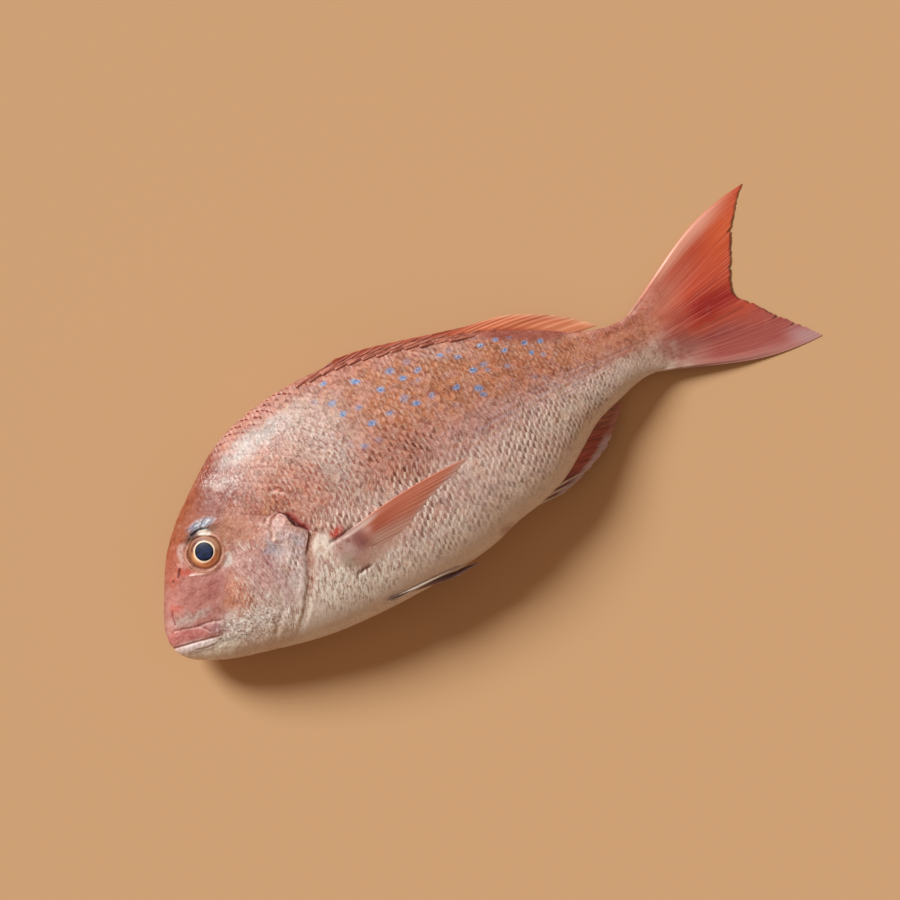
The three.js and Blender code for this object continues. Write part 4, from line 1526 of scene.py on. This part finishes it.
# Root and tip of each spine in front of the anal fin
ANAL_SPINES = np.array([
    ((199, -40.5), (219, -43.3)), ((207, -39.6), (228.5, -41.6)), ((215, -38.2), (236.5, -39.4)),
])


def anal_spine(i, q):
    """The spines in front of the anal fin lie along its lower edge."""
    root, tip = ANAL_SPINES[i.astype(int), 0], ANAL_SPINES[i.astype(int), 1]
    x = mix(root[:, 0], tip[:, 0], q)
    return x, mix(root[:, 1], tip[:, 1], q), 1.2 - ANAL_SINK * q


TEETH = 10


def tooth(i, q):
    """Small pointed teeth stand along the front of both jaws."""
    side = np.where(np.mod(i, 2) < 0.5, 1.0, -1.0)
    x = 2.4 + 0.52 * i
    y = GAPE(x) + mix(0.9, -0.25, q)
    return x, y, side * (flank(x, y) - 0.5)


def add_spines(name, count, place, radius, material, tip=0.25):
    """Tapered closed rods along the paths that place(i, q) gives, all in one piece."""
    columns, rows = 24, 8
    grid, q, t = grid_shares(columns, rows, count)
    turn = TAU * t
    i = np.repeat(np.arange(count), len(q) // count)
    x, y, z = place(i, q)
    thick = radius * mix(1.0, tip, q) * np.sqrt(np.clip(4 * q * (1 - q) * columns / 4, 0, 1))
    points = np.stack([x, y + thick * np.cos(turn), z + thick * np.sin(turn)], 1)
    layers = {"tint": tinted(BEIGE, len(q))}
    places = np.stack([turn / TAU + i, q], 1)
    return finish_piece(name, grid, points, layers, places, material, "fish")


def spine_material(name="bream_spine", deep=(130, 56, 46), pale=(206, 138, 118)):
    """Smooth horny rods, darker in streaks along them."""
    graph = Graph(name)
    streaks = graph.noise(graph.scaled(graph.uv(), 9.0, 3.0, 1.0), 1.0, 3.0, 0.6)
    base = graph.mix(graph.smooth(streaks, 0.36, 0.66), colour(*deep), colour(*pale))
    return graph.finish(Base_Color=base, Roughness=0.4, Normal=graph.bump(streaks, 0.0002, 0.4))


class BREAM_OT_fins(bpy.types.Operator):
    """Make the tail, dorsal, anal, pectoral and pelvic fins"""
    bl_idname = "bream.fins"
    bl_label = "Fins"

    def execute(self, context):
        red = fin_material("bream_fin_red", colour(150, 60, 38), 0.14, 0.16)
        fine = fin_material("bream_fin_fine", colour(140, 46, 38), 0.1, 0.08, 0.42)
        long = fin_material("bream_fin_long", colour(136, 54, 38), 0.16, 0.08)
        dark = fin_material("bream_fin_dark", colour(84, 34, 44), 0.3, 0.25)
        add_fin("tail_fin", TAIL_RAYS, 120, tail_place, 2.0, fine, tail_tints,
                per_ray=16, ribbed=0.03, flesh=tail_flesh)
        add_fin("dorsal_fin", DORSAL_RAYS, 60, dorsal_place, 2.0, red, dorsal_tints,
                per_ray=14, branching=0.3, ribbed=0.1)
        add_spines("dorsal_spines", DORSAL_SPINES, dorsal_spine, 1.15, spine_material())
        add_fin("anal_fin", ANAL_RAYS, 60, anal_place, 1.8, dark, anal_tints)
        for name, side in (("left", LEFT), ("right", RIGHT)):
            add_fin(f"pectoral_fin_{name}", PECTORAL_RAYS, 90, pectoral_place(side), 1.4, long,
                    pectoral_tints, branching=0.5, ribbed=0.03, edge=0.3)
            add_fin(f"pelvic_fin_{name}", PELVIC_RAYS, 50, pelvic_place(side), 2.0, dark, pelvic_tints)
        pale = spine_material("bream_pelvic_spine", (196, 176, 164), (232, 222, 212))
        add_spines("pelvic_spines", 2, pelvic_spine, 1.25, pale)
        add_spines("anal_spines", len(ANAL_SPINES), anal_spine, 0.8, pale)
        ivory = spine_material("bream_tooth", (206, 180, 130), (230, 212, 170))
        add_spines("teeth", TEETH, tooth, 0.34, ivory)
        return {"FINISHED"}


# Eyes

EYE_REACH = 8.0  # how far from its middle the eye meets the skin
BALL_RADIUS = 11.3
PUPIL_RADIUS = 4.9
PUPIL_DEPTH = 0.6
PUPIL_STAND = 0.05  # how far the pupil stands off the iris
RING_RADIUS = 5.9
IRIS_RADIUS = 8.7
FOLD_RADIUS = 7.6


def iris_material():
    graph = Graph("bream_iris")
    radius, turn = graph.parts(graph.uv())

    def facing(angle):
        return graph.math("COSINE", turn - angle)

    fibres = graph.combined(radius * 0.35, graph.math("COSINE", turn), graph.math("SINE", turn))
    grain = graph.noise(fibres, 7.0, 4.0, 0.6)
    clouds = graph.noise(graph.place(), 170.0, 2.0, 0.5)
    base = graph.mix(graph.smooth(clouds, 0.35, 0.65), colour(110, 54, 30), colour(190, 126, 78))
    base = graph.lay(base, colour(172, 92, 54), grain * 0.5)
    # Painted shadow of the lid over the iris's upper front.
    base = graph.lay(base, colour(92, 30, 18), graph.smooth(facing(2.2), 0.1, 0.9) * 0.85)
    inner = graph.smooth(facing(3.4), 0.6, 1.0) * graph.smooth(radius, 7.8, 6.2)
    base = graph.lay(base, colour(232, 164, 108), inner * 0.8)
    base = graph.lay(base, colour(168, 128, 106), graph.smooth(facing(0.3), 0.5, 1.0) * 0.6)
    base = graph.lay(base, colour(196, 104, 66), graph.smooth(facing(4.6), 0.4, 1.0) * 0.6)
    border = graph.smooth(radius, IRIS_RADIUS - 1.2, IRIS_RADIUS + 0.6)
    base = graph.lay(base, colour(140, 82, 58), border)
    fold = graph.smooth(abs(radius - FOLD_RADIUS), 0.5, 0.1)
    base = graph.lay(base, colour(196, 140, 104), fold * 0.5)
    ring_edge = abs(facing(0.5)) * 0.45 + (clouds * 1.8 + (RING_RADIUS - 1.35))
    ring = graph.smooth(radius - ring_edge, 0.35, -0.25)
    base = graph.lay(base, colour(236, 212, 188), ring * 0.95)
    rim = graph.smooth(radius, PUPIL_RADIUS + 0.25, PUPIL_RADIUS - 0.1)
    base = graph.lay(base, colour(8, 8, 14), rim)
    return graph.finish(
        Base_Color=base, Roughness=0.45, Normal=graph.bump(grain, 0.0003, 0.4),
        Specular_IOR_Level=0.3, Coat_Weight=0.15, Coat_Roughness=0.25,
    )


def pupil_material():
    graph = Graph("bream_pupil")
    radius = graph.parts(graph.uv())[0]
    depth = graph.noise(graph.place(), 900.0, 3.0, 0.6)
    base = graph.mix(graph.smooth(depth, 0.4, 0.65), colour(8, 12, 34), colour(22, 40, 88))
    border = graph.smooth(radius, PUPIL_RADIUS - 0.9, PUPIL_RADIUS - 0.4)
    base = graph.lay(base, colour(10, 10, 14), border)
    return graph.finish(
        Base_Color=base, Roughness=0.5, Specular_IOR_Level=0.2, Coat_Weight=0.05, Coat_Roughness=0.3,
    )


def add_dome(name, side, radius, depth, front, material):
    """A flattened ball on the eye's axis, whose foremost point stands at front."""
    columns, rows = 64, 96
    grid, s, t = grid_shares(columns, rows)
    polar, turn = math.pi * s, TAU * t
    x = EYE_X + radius * np.sin(polar) * np.cos(turn)
    y = EYE_Y + radius * np.sin(polar) * np.sin(turn)
    slope_x = (flank(EYE_X + EYE_REACH, EYE_Y) - flank(EYE_X - EYE_REACH, EYE_Y)) / (2 * EYE_REACH)
    slope_y = (flank(EYE_X, EYE_Y + EYE_REACH) - flank(EYE_X, EYE_Y - EYE_REACH)) / (2 * EYE_REACH)
    tilt = slope_x * (x - EYE_X) + slope_y * (y - EYE_Y)
    z = side * (front - depth + depth * np.cos(polar) + tilt)
    places = np.stack([radius * np.sin(polar), turn], 1)
    node = "eye_left" if side == LEFT else "eye_right"
    layers = {"tint": tinted(DARK, len(x))}
    return finish_piece(name, grid, np.stack([x, y, z], 1), layers, places, material, node)


class BREAM_OT_eyes(bpy.types.Operator):
    """Make both eyes with their irises and pupils"""
    bl_idname = "bream.eyes"
    bl_label = "Eyes"

    def execute(self, context):
        iris, pupil = iris_material(), pupil_material()
        front = float(flank(np.array(EYE_X), np.array(EYE_Y))) + EYE_BULGE
        for name, side in (("left", LEFT), ("right", RIGHT)):
            add_dome(f"iris_{name}", side, BALL_RADIUS, EYE_DEPTH, front, iris)
            add_dome(f"pupil_{name}", side, PUPIL_RADIUS, PUPIL_DEPTH, front + PUPIL_STAND, pupil)
        return {"FINISHED"}


# The stage

VIEW_CENTRE = (179.3, 7.6)  # the point of the fish's frame in the middle of the picture
VIEW_WIDTH = 475.0  # how much of the fish's frame the picture spans
VIEW_TURN = math.radians(31.5566)  # how far the fish's axis is turned in the picture
CAMERA_HEIGHT = 3.0
MIDDLE_HEIGHT = 0.022  # of the fish's middle plane, which the view is measured in
LIGHT_FROM = (-0.385, 0.923)  # the side that the light comes from, in the fish's frame
LIGHT_ELEVATION = math.radians(33)
LENS = 85.0
FLOOR_REACH = 3.0
LAMP_DISTANCE = 1.6
LAMP_COLOUR = (0.955, 1.0, 0.985)
FILL_COLOUR = (1.0, 0.69, 0.47, 1.0)


class BREAM_OT_stage(bpy.types.Operator):
    """Make the floor, the lights and the camera"""
    bl_idname = "bream.stage"
    bl_label = "Stage"

    def execute(self, context):
        settings = context.scene.bream
        grid = bmesh.new()
        bmesh.ops.create_grid(grid, x_segments=1, y_segments=1, size=FLOOR_REACH)
        mesh = bpy.data.meshes.new("floor")
        grid.to_mesh(mesh)
        grid.free()
        graph = Graph("floor_plain")
        graph.finish(Base_Color=settings.floor_colour, Roughness=0.9)
        mesh.materials.append(graph.material)
        floor = bpy.data.objects.new("floor", mesh)
        context.collection.objects.link(floor)

        world_light = bpy.data.worlds.new("soft_light")
        world_light.use_nodes = True
        background = world_light.node_tree.nodes["Background"]
        background.inputs["Color"].default_value = FILL_COLOUR
        background.inputs["Strength"].default_value = settings.fill
        context.scene.world = world_light

        middle = Vector((VIEW_CENTRE[0] * MM + SHIFT_X, VIEW_CENTRE[1] * MM + SHIFT_Y, 0.0))
        lamp = bpy.data.lights.new("lamp", "SUN")
        lamp.angle = settings.key_spread
        lamp.energy = settings.key_power
        lamp.color = LAMP_COLOUR
        level = math.cos(LIGHT_ELEVATION)
        towards = Vector((LIGHT_FROM[0] * level, LIGHT_FROM[1] * level, math.sin(LIGHT_ELEVATION)))
        holder = bpy.data.objects.new("lamp", lamp)
        holder.location = middle + towards * LAMP_DISTANCE
        holder.rotation_euler = towards.to_track_quat("Z", "Y").to_euler()
        context.collection.objects.link(holder)

        lens = bpy.data.cameras.new("camera")
        lens.lens = LENS
        lens.sensor_width = LENS * VIEW_WIDTH * MM / CAMERA_HEIGHT
        camera = bpy.data.objects.new("camera", lens)
        camera.location = middle + Vector((0, 0, CAMERA_HEIGHT + MIDDLE_HEIGHT))
        camera.rotation_euler = (0.0, 0.0, -VIEW_TURN)
        context.collection.objects.link(camera)
        context.scene.camera = camera
        context.scene.view_settings.view_transform = "Standard"
        return {"FINISHED"}


class BreamSettings(bpy.types.PropertyGroup):
    """Colours and sizes of the fish and its stage"""
    spot_colour: FloatVectorProperty(
        name="Spots", description="Colour of the bright spots on the upper flank", subtype="COLOR",
        size=3, min=0, max=1, default=tuple(colour(104, 150, 204)),
    )
    floor_colour: FloatVectorProperty(
        name="Floor", description="Colour of the floor", subtype="COLOR",
        size=3, min=0, max=1, default=tuple(colour(208, 165, 123)),
    )
    fill: FloatProperty(
        name="Fill", description="Strength of the soft light from all round", default=0.3, min=0,
    )
    key_power: FloatProperty(
        name="Lamp", description="Strength of the lamp", default=4.05, min=0,
    )
    key_spread: FloatProperty(
        name="Lamp spread", description="How wide the lamp looks from the fish", min=0,
        default=math.radians(20), subtype="ANGLE",
    )


class BREAM_PT_panel(bpy.types.Panel):
    """Lists the steps that build the fish"""
    bl_label = "Bream"
    bl_idname = "BREAM_PT_panel"
    bl_space_type = "VIEW_3D"
    bl_region_type = "UI"
    bl_category = "Bream"

    def draw(self, context):
        for operator in OPERATORS:
            self.layout.operator(operator.bl_idname)
        for name in BreamSettings.__annotations__:
            self.layout.prop(context.scene.bream, name)


OPERATORS = (BREAM_OT_stage, BREAM_OT_body, BREAM_OT_fins, BREAM_OT_eyes)
CLASSES = (BreamSettings, *OPERATORS, BREAM_PT_panel)


def register():
    for each in CLASSES:
        bpy.utils.register_class(each)
    bpy.types.Scene.bream = PointerProperty(type=BreamSettings)


def unregister():
    del bpy.types.Scene.bream
    for each in reversed(CLASSES):
        bpy.utils.unregister_class(each)


def main():
    register()
    bpy.ops.bream.stage()
    bpy.ops.bream.body()
    bpy.ops.bream.fins()
    bpy.ops.bream.eyes()


if __name__ == "__main__":
    main()
